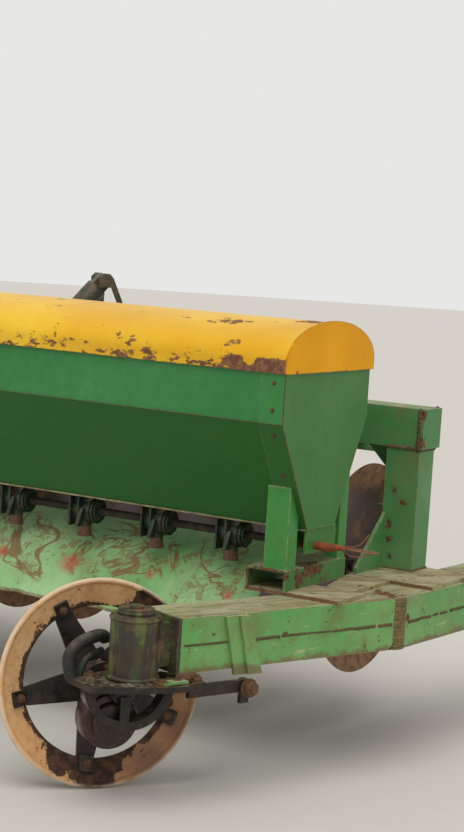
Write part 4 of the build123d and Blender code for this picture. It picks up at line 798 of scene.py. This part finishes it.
copies(drop_master, "beam_bend_weld", bend_passes, "frame", weld_rust)
print("weld drops:", len(seams) + len(bend_passes))

# %% [markdown]
# Bolts on the frame: rusty heads down the seed box's end flanges, and painted ones on the hangers' bearings
# and along the scraper bar. The lower panel of the box leans outwards, so its bolts lean with it.

# %% Bolts on the frame
painted_bolt = bare_metal("painted_bolt", ((54, 104, 56), (66, 110, 62), (110, 84, 58)), 0.55, 0.1, 50.0,
                          0.0003)
PANEL_OUT, PANEL_BACK_OUT = (0.0, -0.861, -0.508), (0.0, 0.890, -0.456)
BOX_BEND, PANEL_DROP, BOX_DEPTH = 1098.0, 337.5, 554.0
flange_bolts = []
for column in (-38.0, -2262.0):
    for height in (1222.0, 1140.0, 1062.0, 934.0, 812.0):
        share = max(0.0, (BOX_BEND - height) / PANEL_DROP)
        front_out, back_out = (PANEL_OUT, PANEL_BACK_OUT) if share else ((0, -1, 0), (0, 1, 0))
        flange_bolts.append(standing(at(column, 199.0 * share, height), front_out, size=0.46))
        flange_bolts.append(standing(at(column, BOX_DEPTH - 174.0 * share, height), back_out, size=0.62))
copies(bolt_master, "box_flange_bolts", flange_bolts, "frame", rusty_bolt)
DISC_PITCH, GANG_Y, GANG_Z = 286.5, 890.0, 540.0
RIM_XS = [-135.0 - DISC_PITCH * index for index in range(8)]
HANGER_XS = [RIM_XS[index] - 85.0 - 146.25 for index in (0, 3, 6)]
frame_bolts = []
for hanger_x in HANGER_XS:
    for quarter in range(4):
        angle = math.radians(45 + 90 * quarter)
        y, z = GANG_Y + 51 * math.cos(angle), GANG_Z + 51 * math.sin(angle)
        for way in (1, -1):
            frame_bolts.append(standing(at(hanger_x + way * 37, y, z), (way, 0, 0), size=0.62))
    for y in (792.0, 868.0, 916.0):
        for x in (-36, 36):
            frame_bolts.append(standing(at(hanger_x + x, y, 969), -UP, size=0.8))
for rim_x in RIM_XS:
    for height in (938.0, 964.0):
        frame_bolts.append(standing(at(rim_x + 17, 1085.0, height), (0, 1, 0), size=0.7))
copies(bolt_master, "frame_bolts", frame_bolts, "frame", painted_bolt)
print("bolts on the frame:", len(flange_bolts) + len(frame_bolts))

# %% [markdown]
# The furrow wheels lean, so they get a frame of their own: the travel direction runs along the ground, the
# axle points outwards and a little down, and the third direction closes the frame. The wheels' rings carry
# old cream paint that is rubbed pale on the lip and breaks into rust and packed soil towards the hole.

# %% Frames and rings of the three wheels
HEADING, LEAN = math.radians(52), math.radians(8)
TRAVEL = Vector((math.cos(HEADING), math.sin(HEADING), 0.0))
LAND_SIDE = Vector((-TRAVEL.y, TRAVEL.x, 0.0))
AXLE_OUT = LAND_SIDE * math.cos(LEAN) - UP * math.sin(LEAN)
ROUND_ON = -LAND_SIDE * math.sin(LEAN) - UP * math.cos(LEAN)
LIFT_SHAFT = (-1367.0, 1051.0)


def from_pin(pin, trail, side, height):
    """A point behind a pivot by `trail` and to the land side by `side`."""
    return at(*pin, height) - TRAVEL * trail / 1000.0 + LAND_SIDE * side / 1000.0


def spoke(turned, across=ROUND_ON):
    """The direction from a hub that is turned, in degrees, from the travel towards `across`."""
    return TRAVEL * math.cos(math.radians(turned)) + across * math.sin(math.radians(turned))


WHEELS = {
    "front": from_pin(KINGPINS["front"], 19, 255, 306),
    "rear": from_pin(KINGPINS["rear"], 120, 255, 306),
    "land": from_pin(LIFT_SHAFT, -560, 240, 330)}
# Spots where the ring's soil patches grow, so it is darker there: three at its foot by the ground and two
# near its top.
DARKER_SPOTS = spots((
    (-390, -388, 40, 0.11), (-348, -342, 24, 0.10), (-429, -436, 67, 0.07), (-326, -196, 540, 0.075),
    (-281, -144, 509, 0.11)))
REDDENED = spots(((-199, -120, 155, 0.20), (-257, -214, 70, 0.16), (-250, -130, 300, 0.14)))


def ring_finish(name, centre, hole, lip):
    """Cream paint, a rubbed lip, and ragged rust and soil that grow towards the hole."""
    coat = Finish(name, specular=0.25)
    coat.colour = coat.blend(coat.cut(0.36, 0.64, 5.0, 5.0, 0.65), (222, 180, 128), (206, 156, 104))
    coat.lay(coat.cut(0.50, 0.66, 11.0, 7.0, 0.7, shift=3.0), (178, 122, 84), 0.65)
    grains = coat.cut(0.46, 0.62, 64.0, 7.0, 0.78, shift=17.0)
    coat.lay(coat.times(grains, coat.cut(0.38, 0.60, 4.0, 4.0, 0.6, shift=21.0)), (138, 98, 68), 0.6)
    coat.lay(coat.near(REDDENED, 0.8), (124, 88, 74), 0.85)
    away = coat.away(centre)
    inward = coat.times(coat.patches(away, (hole + lip) / 2 - 0.004, hole), 0.33)
    ragged = coat.plus(coat.clouds(15.0, 9.0, 0.72, shift=6.0), inward)
    ragged = coat.plus(ragged, coat.times(coat.near(DARKER_SPOTS, 0.9), 0.42))
    specks = coat.times(coat.cut(0.64, 0.67, 46.0, 5.0, 0.65, shift=8.0), 0.8)
    soil = coat.either(coat.patches(ragged, 0.70, 0.73), specks)
    coat.lay(soil, coat.blend(coat.cut(0.4, 0.6, 40.0, 5.0), (88, 60, 46), (50, 38, 32)))
    rubbed = coat.times(coat.patches(away, lip - 0.008, lip), coat.cut(0.36, 0.5, 9.0, 5.0))
    coat.lay(rubbed, (228, 208, 186), 0.7)
    coat.relief(coat.minus(coat.clouds(60.0, 6.0, 0.7), coat.times(soil, 0.4)), 0.0016)
    return coat.finish(coat.plus(coat.times(soil, 0.1), 0.62))


for wheel, part, hole, lip in (("front", "_wheel_ring", 0.227, 0.308), ("rear", "_wheel_ring", 0.227, 0.308),
                               ("land", "_wheel_rim", 0.300, 0.336)):
    finish = ring_finish(wheel + part + "_paint", WHEELS[wheel], hole, lip)
    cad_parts[wheel + part].data.materials[0] = finish
print("wheel centres", {name: [round(value, 3) for value in spot] for name, spot in WHEELS.items()})

# %% [markdown]
# The discs turn in soil, so their wear runs in circles about the gang's axle. A noise read along nothing
# but the distance from the axle gives fine rings. The outer band is rusty and light, the bowl a dark purple
# polish. The lighter rim and darker bowl are also painted light and painted shade across the dish.

# %% Disc steel with rings of wear


def disc_finish():
    """Rusty rim, polished purple-brown bowl, circular scratches and dry soil; the light rim and dark bowl are
    painted light and shade too.
    """
    coat = Finish("disc_wear", metallic=0.3)
    flat = coat.node("Mapping", "Vector", {"Vector": coat.place, "Scale": (0.0, 1.0, 1.0)})
    axle = at(0.0, GANG_Y, GANG_Z)
    away = coat.away((0.0, axle.y, axle.z), flat)
    rings = coat.noise(coat.node("CombineXYZ", "Vector", {"X": away}), 170.0, 5.0)
    coat.colour = coat.blend(coat.patches(rings, 0.35, 0.65), (72, 54, 58), (94, 72, 68))
    # A lighter rusty band at the rim and a darker bowl within: rust and polish, and also painted light on the
    # rim and painted shade in the bowl.
    band = coat.plus(coat.patches(away, 0.19, 0.36), coat.minus(coat.clouds(9.0, 7.0, 0.7), 0.5))
    rusty = coat.patches(band, 0.42, 0.75)
    coat.lay(rusty, coat.blend(coat.cut(0.4, 0.62, 32.0, 6.0), (170, 130, 94), (128, 94, 70)))
    soil = coat.cut(0.56, 0.66, 7.0, 8.0, 0.75, shift=14.0)
    coat.lay(soil, (150, 122, 94), 0.55)
    coat.relief(coat.step("ADD", rings, coat.clouds(50.0, 6.0, 0.7)), 0.0007)
    return coat.finish(coat.plus(coat.times(coat.either(rusty, soil), 0.4), 0.36))


disc_wear = disc_finish()
for number in range(1, 9):
    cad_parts[f"disc_{number}"].data.materials[0] = disc_wear
print("discs painted")

# %% [markdown]
# Each spoke of a furrow wheel is held to the ring by a clip with a bolt through it. The clip is a short
# thick plate with rounded edges, tilted like the dished ring it lies on. Between the spokes, bolts close
# the hub on both sides.

# %% Spoke clips and hub bolts of the furrow wheels
clip_master = rounded(block((0.050, 0.046, 0.010)), 0.003)
clip_master.name = "clip_master"
DISH_TILT = math.atan2(30.0, 75.0)
FIRST_SPOKE, SPOKE_STEP = 26, 72
for wheel in KINGPINS:
    clips, wheel_bolts = [], []
    for index in range(5):
        outward = spoke(FIRST_SPOKE + SPOKE_STEP * index)
        facing = -AXLE_OUT * math.cos(DISH_TILT) - outward * math.sin(DISH_TILT)
        spot = WHEELS[wheel] + outward * 0.247 + AXLE_OUT * 0.007 + facing * 0.0085
        clips.append(standing(spot, facing, outward))
        wheel_bolts.append(standing(spot + facing * 0.005, facing, outward, 0.9))
        gap = spoke(FIRST_SPOKE + SPOKE_STEP * (index + 0.5))
        for way in (-1, 1):
            spot = WHEELS[wheel] + gap * 0.050 + AXLE_OUT * (way * 0.060)
            wheel_bolts.append(standing(spot, AXLE_OUT * way, gap, 0.62))
    copies(clip_master, wheel + "_wheel_clips", clips, wheel + "_wheel", oily_iron)
    bolts(wheel + "_wheel_bolts", wheel_bolts, wheel + "_wheel")
print("clips and hub bolts are on")

# %% [markdown]
# The kingpin's housing is a thick tube with a rolled rim at each end and a cap with a raised button in the
# middle. Under it, a rusty pin with a big head holds the steering plate's ear, and another one closes the
# link's eye.

# %% Kingpin rims, caps and steering pins
PLATE_TOP = 379
for wheel, pin in KINGPINS.items():
    rims = []
    for height, radius, thickness in ((557, 0.0705, 0.006), (386, 0.071, 0.007), (574, 0.050, 0.0045)):
        bpy.ops.mesh.primitive_torus_add(location=at(*pin, height), major_radius=radius,
                                         minor_radius=thickness, major_segments=48, minor_segments=10)
        rims.append(bpy.context.object)
    rims.append(rounded(cylinder(24, 0.021, 0.010, location=at(*pin, 588.5)), 0.003))
    seat(join(rims), wheel + "_housing_rims", "frame", housing_paint, smooth=40)


def plate_bolts(wheel, *holes):
    """Bolts on a steering plate, at holes behind the kingpin and to its land side."""
    return [standing(from_pin(KINGPINS[wheel], *hole, PLATE_TOP), UP, size=1.2) for hole in holes]


low_head = Matrix.Diagonal((1.0, 1.0, 0.5, 1.0))
pins = [standing(beside(30, 98, PLATE_TOP), UP, size=1.9) @ low_head,
        standing(beside(322, 130, 350), near_side, size=1.9),
        standing(beside(150, 104, PLATE_TOP), UP, size=1.3), *plate_bolts("front", (120, 20), (-110, -70))]
bolts("steering_pins", pins, "front_knuckle")
rear_pins = plate_bolts("rear", (120, 20), (-110, -70), (-140, -84))
bolts("rear_plate_bolts", rear_pins, "rear_knuckle")
print("kingpins dressed")

# %% [markdown]
# Each feed cup is an iron casting. Its plate and body are CAD. What still gives it its busy look are the
# notched wheel on the shaft, the top flange with its screws, and the thumb lever of the gate. All seven
# cups are alike, so the set is modelled once round the first cup and copied down the row.

# %% Feed cup castings
CUP_XS = [-300.0 - DISC_PITCH * index for index in range(7)]
SHAFT_Y, SHAFT_Z = 268, 706
SIDEWAYS = (0, math.radians(90), 0)
notched = settled(cylinder(24, 0.036, 0.008, rotation=SIDEWAYS))
bpy.ops.object.mode_set(mode="EDIT")
bpy.ops.mesh.select_all(action="DESELECT")
bpy.ops.object.mode_set(mode="OBJECT")
side_faces = [face for face in notched.data.polygons if abs(face.normal.x) < 0.5]
side_faces.sort(key=lambda face: math.atan2(face.center.z, face.center.y))
for face in side_faces[::2]:
    face.select = True
bpy.ops.object.mode_set(mode="EDIT")
bpy.ops.mesh.select_mode(type="FACE")
bpy.ops.mesh.extrude_faces_move(TRANSFORM_OT_shrink_fatten={"value": 0.007})
bpy.ops.object.mode_set(mode="OBJECT")
notched.location = (0.043, 0.0, 0.0)
flange = block((0.094, 0.112, 0.006), location=(0.002, 0.003, 0.0500))
boss = cylinder(16, 0.012, 0.026, location=(0.052, 0.0, 0.0), rotation=SIDEWAYS)
lever = block((0.014, 0.006, 0.064), location=(0.012, -0.062, -0.018), rotation=(math.radians(-24), 0, 0))
boot = cylinder(16, 0.026, 0.012, location=(0.0, -0.008, -0.082))
cup_master = join([settled(notched), *(rounded(part, 0.0014) for part in (flange, boss, lever, boot))])
cup_master.name = "cup_master"
cup_places = [Matrix.Translation(at(x, SHAFT_Y, SHAFT_Z)) for x in CUP_XS]
copies(cup_master, "cup_castings", cup_places, "frame", cup_iron)
cup_screws = [standing(at(x + dx, SHAFT_Y + dy, 753), -UP, size=0.55)
              for x in CUP_XS for dx in (-40, 44) for dy in (-44, 50)]
cup_screws += [standing(at(x - 35, SHAFT_Y + dy, 690), (-1, 0, 0), size=0.6)
               for x in CUP_XS for dy in (-44, 44)]
bolts("cup_screws", cup_screws, "frame")
print("cup castings:", len(CUP_XS))

# %% [markdown]
# Wires, thin lips and U-bolts are all lines with a thickness. A curve with a round bevel draws them from a
# few points, and it is turned into a mesh before it is seated.

# %% Helpers for lines with a thickness


def dots(rows):
    """Rows of x, y and z in millimetres, as points of the scene."""
    return [at(*row) for row in rows]


def wire(points, radius, ends=1.0, straight=False):
    """A round line through a few points; `ends` makes the radius change towards the last one."""
    curve = bpy.data.curves.new("wire", "CURVE")
    curve.dimensions = "3D"
    curve.bevel_depth = radius
    curve.bevel_resolution = 3
    curve.use_fill_caps = True
    spline = curve.splines.new("POLY" if straight else "NURBS")
    last = len(points) - 1
    spline.points.add(last)
    for index, point in enumerate(points):
        spline.points[index].co = (*point, 1.0)
        spline.points[index].radius = 1.0 + (ends - 1.0) * index / last
    if not straight:
        spline.order_u = 3
        spline.use_endpoint_u = True
        spline.resolution_u = 6
    only(placed("wire", curve))
    bpy.ops.object.convert(target="MESH")
    bpy.ops.object.shade_smooth_by_angle(angle=math.radians(50))
    return bpy.context.object


# %% [markdown]
# The feed shaft sticks out at the right end. There it is a short thick rusty root that thins into twisted
# wires: somebody has tied the lost chain drive's stub off with wire. Between the cups the shaft is black.
# The new shaft takes the place of the CAD's plain rod and turns with it.

# %% Feed shaft with its wired end


def shaft_finish():
    """Black and oily under the box, rust red at the free end, pale where the wire is."""
    coat = Finish("shaft_paint", metallic=0.2)
    reach = coat.step("ADD", coat.part(coat.place, "X"), coat.times(coat.clouds(30.0, 5.0, 0.7), 0.08))
    coat.colour = coat.blend(coat.cut(0.45, 0.6, 24.0, 6.0, 0.7), (36, 34, 28), (72, 58, 44))
    rust = coat.blend(coat.cut(0.4, 0.6, 38.0, 6.0, 0.7, shift=4.0), (160, 84, 48), (124, 62, 40))
    for low, high, colour in ((-30, 0, rust), (132, 190, (146, 108, 84))):
        coat.lay(coat.patches(reach, at(low, 0, 0).x, at(high, 0, 0).x), colour)
    coat.relief(coat.clouds(90.0, 5.0, 0.7), 0.0012)
    return coat.finish(0.72)


shaft_parts = [wire(dots((x, SHAFT_Y, SHAFT_Z) for x in (-2089, -1000, 0, 40)), 0.013, straight=True),
               wire(dots(((38, 268, 706), (70, 267, 708), (96, 266, 712))), 0.0150, 0.45)]
for strand in range(3):
    twist = []
    for step in range(18):
        angle = strand * 2.09 + step * 0.62
        twist.append(at(88 + 8 * step, 264 - 0.8 * step + 3.2 * math.cos(angle),
                        711 + 0.24 * step + 3.2 * math.sin(angle)))
    shaft_parts.append(wire(twist, 0.0028, 0.6))
LOOSE_ENDS = (
    (((86, 266, 716), (120, 262, 718), (152, 260, 726), (170, 258, 744), (186, 256, 766)), 0.0018, 1.0),
    (((90, 268, 703), (112, 262, 694), (138, 258, 690), (166, 256, 696), (196, 254, 707)), 0.0019, 1.0),
    (((74, 262, 712), (130, 255, 708), (228, 246, 713)), 0.0026, 0.8))
for rows, radius, ends in LOOSE_ENDS:
    shaft_parts.append(wire(dots(rows), radius, ends))
wired_shaft = seat(join(shaft_parts), "feed_shaft_wired", "feed_shaft", shaft_finish())
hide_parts("feed_shaft")
print("feed shaft:", len(wired_shaft.data.polygons), "faces")

# %% [markdown]
# Thin lips catch the light along the big sheets: the worn lower edge of the hopper, the bend between its
# panels, the hem of the apron, which is battered into soft waves, and the caulked joints of the end plates.

# %% Worn lips and joints of the sheet metal
worn_lip = bare_metal("worn_lip", ((176, 166, 132), (120, 120, 84), (104, 78, 56)), 0.7, 0.1, 16.0, 0.0004)
joint_brown = bare_metal("joint_brown", ((86, 78, 50), (70, 84, 48), (122, 92, 62)), 0.8, 0.0, 30.0, 0.0004)
bottom_lip = wire(dots(((-2298, 199, 760), (-2, 199, 760))), 0.0030, straight=True)
seat(bottom_lip, "hopper_bottom_lip", "frame", worn_lip)
sheet_joints = [wire(dots(((-2300, 1, 1098), (0, -0.5, 1098))), 0.0013, straight=True)]
for column, y, top, foot_y, radius in ((-85, 2, 1256, 200, 0.0014), (-2215, 2, 1256, 200, 0.0014),
                                       (0, 0, 1250, 199, 0.0020), (-2300, 0, 1250, 199, 0.0020)):
    rows = ((column, y, top), (column, y, 1098), (column, foot_y, 761))
    sheet_joints.append(wire(dots(rows), radius, straight=True))
seat(join(sheet_joints), "hopper_joints", "frame", joint_brown)
hem_points = [at(-2200 + 23 * step, 168 + 2.4 * math.sin(step * 0.9) + 1.5 * math.sin(step * 2.3),
                 408 + 3.0 * math.sin(step * 0.55) + 1.6 * math.sin(step * 1.7)) for step in range(88)]
seat(wire(hem_points, 0.0055), "apron_hem_roll", "frame", worn_lip)
print("hem of", len(hem_points), "points")

# %% [markdown]
# Two U-bolts clamp each hanger to the main beam. They are bent round bars with a nut on each leg, and a
# plate below takes the pull.

# %% U-bolts over the main beam
U_BOLT = ((757, 950), (757, 1060), (757, 1112), (758, 1127), (773, 1127), (832, 1127), (892, 1127),
          (907, 1127), (908, 1112), (908, 1060), (908, 950))
clamp_parts, clamp_nuts = [], []
for hanger_x in HANGER_XS:
    clamp_parts.append(rounded(block((0.110, 0.187, 0.012), location=at(hanger_x, 832.5, 977)), 0.002))
    for x in (hanger_x - 40, hanger_x + 40):
        clamp_parts.append(wire(dots((x, y, z) for y, z in U_BOLT), 0.0085))
        clamp_nuts += [standing(at(x, y, 971), -UP) for y in (757, 908)]
seat(join(clamp_parts), "hanger_u_bolts", "frame", rusty_steel)
bolts("u_bolt_nuts", clamp_nuts, "frame")
print("U-bolts:", len(clamp_nuts) // 2)

# %% [markdown]
# More bolts sit round the land wheel's hub, eight on each side, and at the corners of the lift's deck. The
# land wheel stands upright, so its hub is measured with the plain up direction.

# %% Bolts of the land wheel and the lift
land_bolts = []
for index in range(8):
    outward = spoke(22.5 + 45 * index, UP)
    for way in (-1, 1):
        spot = WHEELS["land"] + outward * 0.052 + LAND_SIDE * (way * 0.060)
        land_bolts.append(standing(spot, LAND_SIDE * way, outward, 0.62))
bolts("land_wheel_bolts", land_bolts, "land_wheel")
deck_bolts = [standing(from_pin(LIFT_SHAFT, trail, side, 1132), UP, TRAVEL, 1.3)
              for trail in (92, -94) for side in (-130, 64)]
bolts("lift_deck_bolts", deck_bolts, "frame")
print("wheel and deck bolts:", len(land_bolts) + len(deck_bolts))

# %% [markdown]
# Grease and mud lie in soft lumps on both steering plates, round their kingpins. Metaballs run into one
# another the way such lumps do. They are pressed flat and turned into one mesh. The front plate also has a
# small green tab.

# %% Mud and grease on the steering plates


def mud(name, lumps, body):
    """Soft lumps, given as (point, radius), that melt together into one piece."""
    bpy.ops.object.metaball_add(type="BALL", radius=0.001, location=lumps[0][0])
    heap = only(bpy.context.object)
    heap.data.resolution = heap.data.render_resolution = 0.0045
    heap.data.threshold = 0.25
    for point, radius in lumps:
        ball = heap.data.elements.new(type="ELLIPSOID")
        ball.co = point - heap.location
        ball.radius = radius * 1.6
        ball.size_z = 0.45
    bpy.ops.object.convert(target="MESH")
    heap = seat(bpy.context.object, name, body, mud_paint)
    bpy.ops.object.shade_smooth()
    return heap


mud_paint = bare_metal("mud_paint", ((48, 42, 34), (74, 66, 50), (96, 80, 58)), 0.55, 0.0, 26.0, 0.0020,
                       dust=0.5, gleam=0.3)
dice = random.Random(11)
LUMPS = 46
for wheel, pin in KINGPINS.items():
    lumps = []
    for step in range(LUMPS):
        angle = step / LUMPS * 2 * math.pi + dice.uniform(-0.1, 0.1)
        reach = dice.uniform(80, 104)
        trail, side = reach * math.cos(angle) * 1.35, reach * math.sin(angle) * 0.9
        lumps.append((from_pin(pin, trail, side, PLATE_TOP), dice.uniform(0.007, 0.016)))
    heap = mud(wheel + "_plate_mud", lumps, wheel + "_knuckle")
    print(wheel, "mud:", len(heap.data.polygons), "faces")
tab = block((1.0, 1.0, 1.0))
tab.matrix_world = standing(beside(66, 106, 386), UP, near_run) @ Matrix.Diagonal((0.085, 0.034, 0.007, 1.0))
seat(tab, "steering_tab", "front_knuckle", stand_green)

# %% [markdown]
# Under each steering plate hangs the round casting that carries the stub axle, black with grease, and on
# the plate's land side stands a bent arm. Both belong to the knuckle, so they steer with it.

# %% Hub castings and knuckle arms
hub_iron = bare_metal("hub_iron", ((38, 24, 20), (58, 34, 27), (84, 54, 40)), 0.34, 0.2, 12.0, 0.0016,
                      dust=0.3, gleam=0.5)
arm_iron = bare_metal("arm_iron", ((20, 34, 24), (30, 30, 24), (56, 44, 33)), 0.7, 0.0, 16.0, 0.0030,
                      dust=0.4, gleam=0.25)
HUB_STEPS = ((88, 0.084, 0.088), (40, 0.058, 0.030), (140, 0.050, 0.040))
ARM = ((168, 44, 376), (186, 48, 424), (156, 60, 466), (106, 80, 482), (62, 98, 488), (52, 104, 470))
BRACE = ((142, 52, 378), (136, 56, 412), (98, 78, 436), (64, 100, 440))
for wheel, trail in (("front", 43), ("rear", 122)):
    pin, body = KINGPINS[wheel], wheel + "_knuckle"
    rounds = []
    for across, radius, depth in HUB_STEPS:
        part = cylinder(44, radius, depth)
        part.matrix_world = standing(from_pin(pin, trail, across, 243), LAND_SIDE, UP)
        rounds.append(modified(settled(part), "BEVEL", width=0.010, segments=3))
    seat(join(rounds), wheel + "_hub_casting", body, hub_iron, smooth=40)
    bars = [wire([from_pin(pin, *row) for row in rows], radius)
            for rows, radius in ((ARM, 0.019), (BRACE, 0.010))]
    seat(join(bars), wheel + "_knuckle_arm", body, arm_iron)
print("hub castings and arms are on")

# %% [markdown]
# A loose-edged filler plate closes the corner between the bent beam, the seed box's channel and the post.
# Its outline is one flat face; a Solidify modifier gives it the thickness of the bearers beside it.

# %% Filler plate on the beam
OUTLINE = ((120, 282), (26, 282), (-30, 545), (-30, 600), (120, 600))
shape = bmesh.new()
shape.faces.new([shape.verts.new(at(x, y, 573.5)) for x, y in OUTLINE])
bmesh.ops.recalc_face_normals(shape, faces=shape.faces)
filler = drawn("filler", shape)
inwards = -1.0 if filler.data.polygons[0].normal.z > 0 else 1.0
modified(filler, "SOLIDIFY", thickness=0.010, offset=inwards)
seat(filler, "beam_filler_plate", "frame", plate_stack)
print("filler plate:", len(filler.data.polygons), "faces")

# %% [markdown]
# Over the lid the photograph shows a thin strut beside the lift cylinder, where the solid has a full plate.
# A copy of the mast has its near plate cut open with a Boolean, which leaves the head round the pin, the
# sloping strut and a foot along the deck. It takes the place of the plain mast.

# %% Open mast plate
solid_mast = bpy.data.objects["lift_mast"]
open_mast = placed("open_mast", solid_mast.data.copy())
open_mast.matrix_world = solid_mast.matrix_world
OPENING = ((125, 1422), (125, 1162), (-75, 1162), (42, 1422))
shape = bmesh.new()
near, far = ([shape.verts.new(from_pin(LIFT_SHAFT, trail, side, z)) for trail, z in OPENING]
             for side in (-158, -124))
shape.faces.new(near)
shape.faces.new(far[::-1])
for index in range(4):
    following = (index + 1) % 4
    shape.faces.new((near[following], near[index], far[index], far[following]))
bmesh.ops.recalc_face_normals(shape, faces=shape.faces)
cutter = drawn("mast_cutter", shape)
modified(open_mast, "BOOLEAN", operation="DIFFERENCE", object=cutter)
bpy.data.objects.remove(cutter)
seat(open_mast, "lift_mast_open", "frame", lift_iron, smooth=30)
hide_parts("lift_mast")
print("open mast:", len(open_mast.data.polygons), "faces")

# %% [markdown]
# The masters have done their work. They aren't part of the machine, so they go before the scene is closed.

# %% Put the masters away
for master_name in ("bolt_master", "drop_master", "clip_master", "cup_master"):
    bpy.data.objects.remove(bpy.data.objects[master_name])
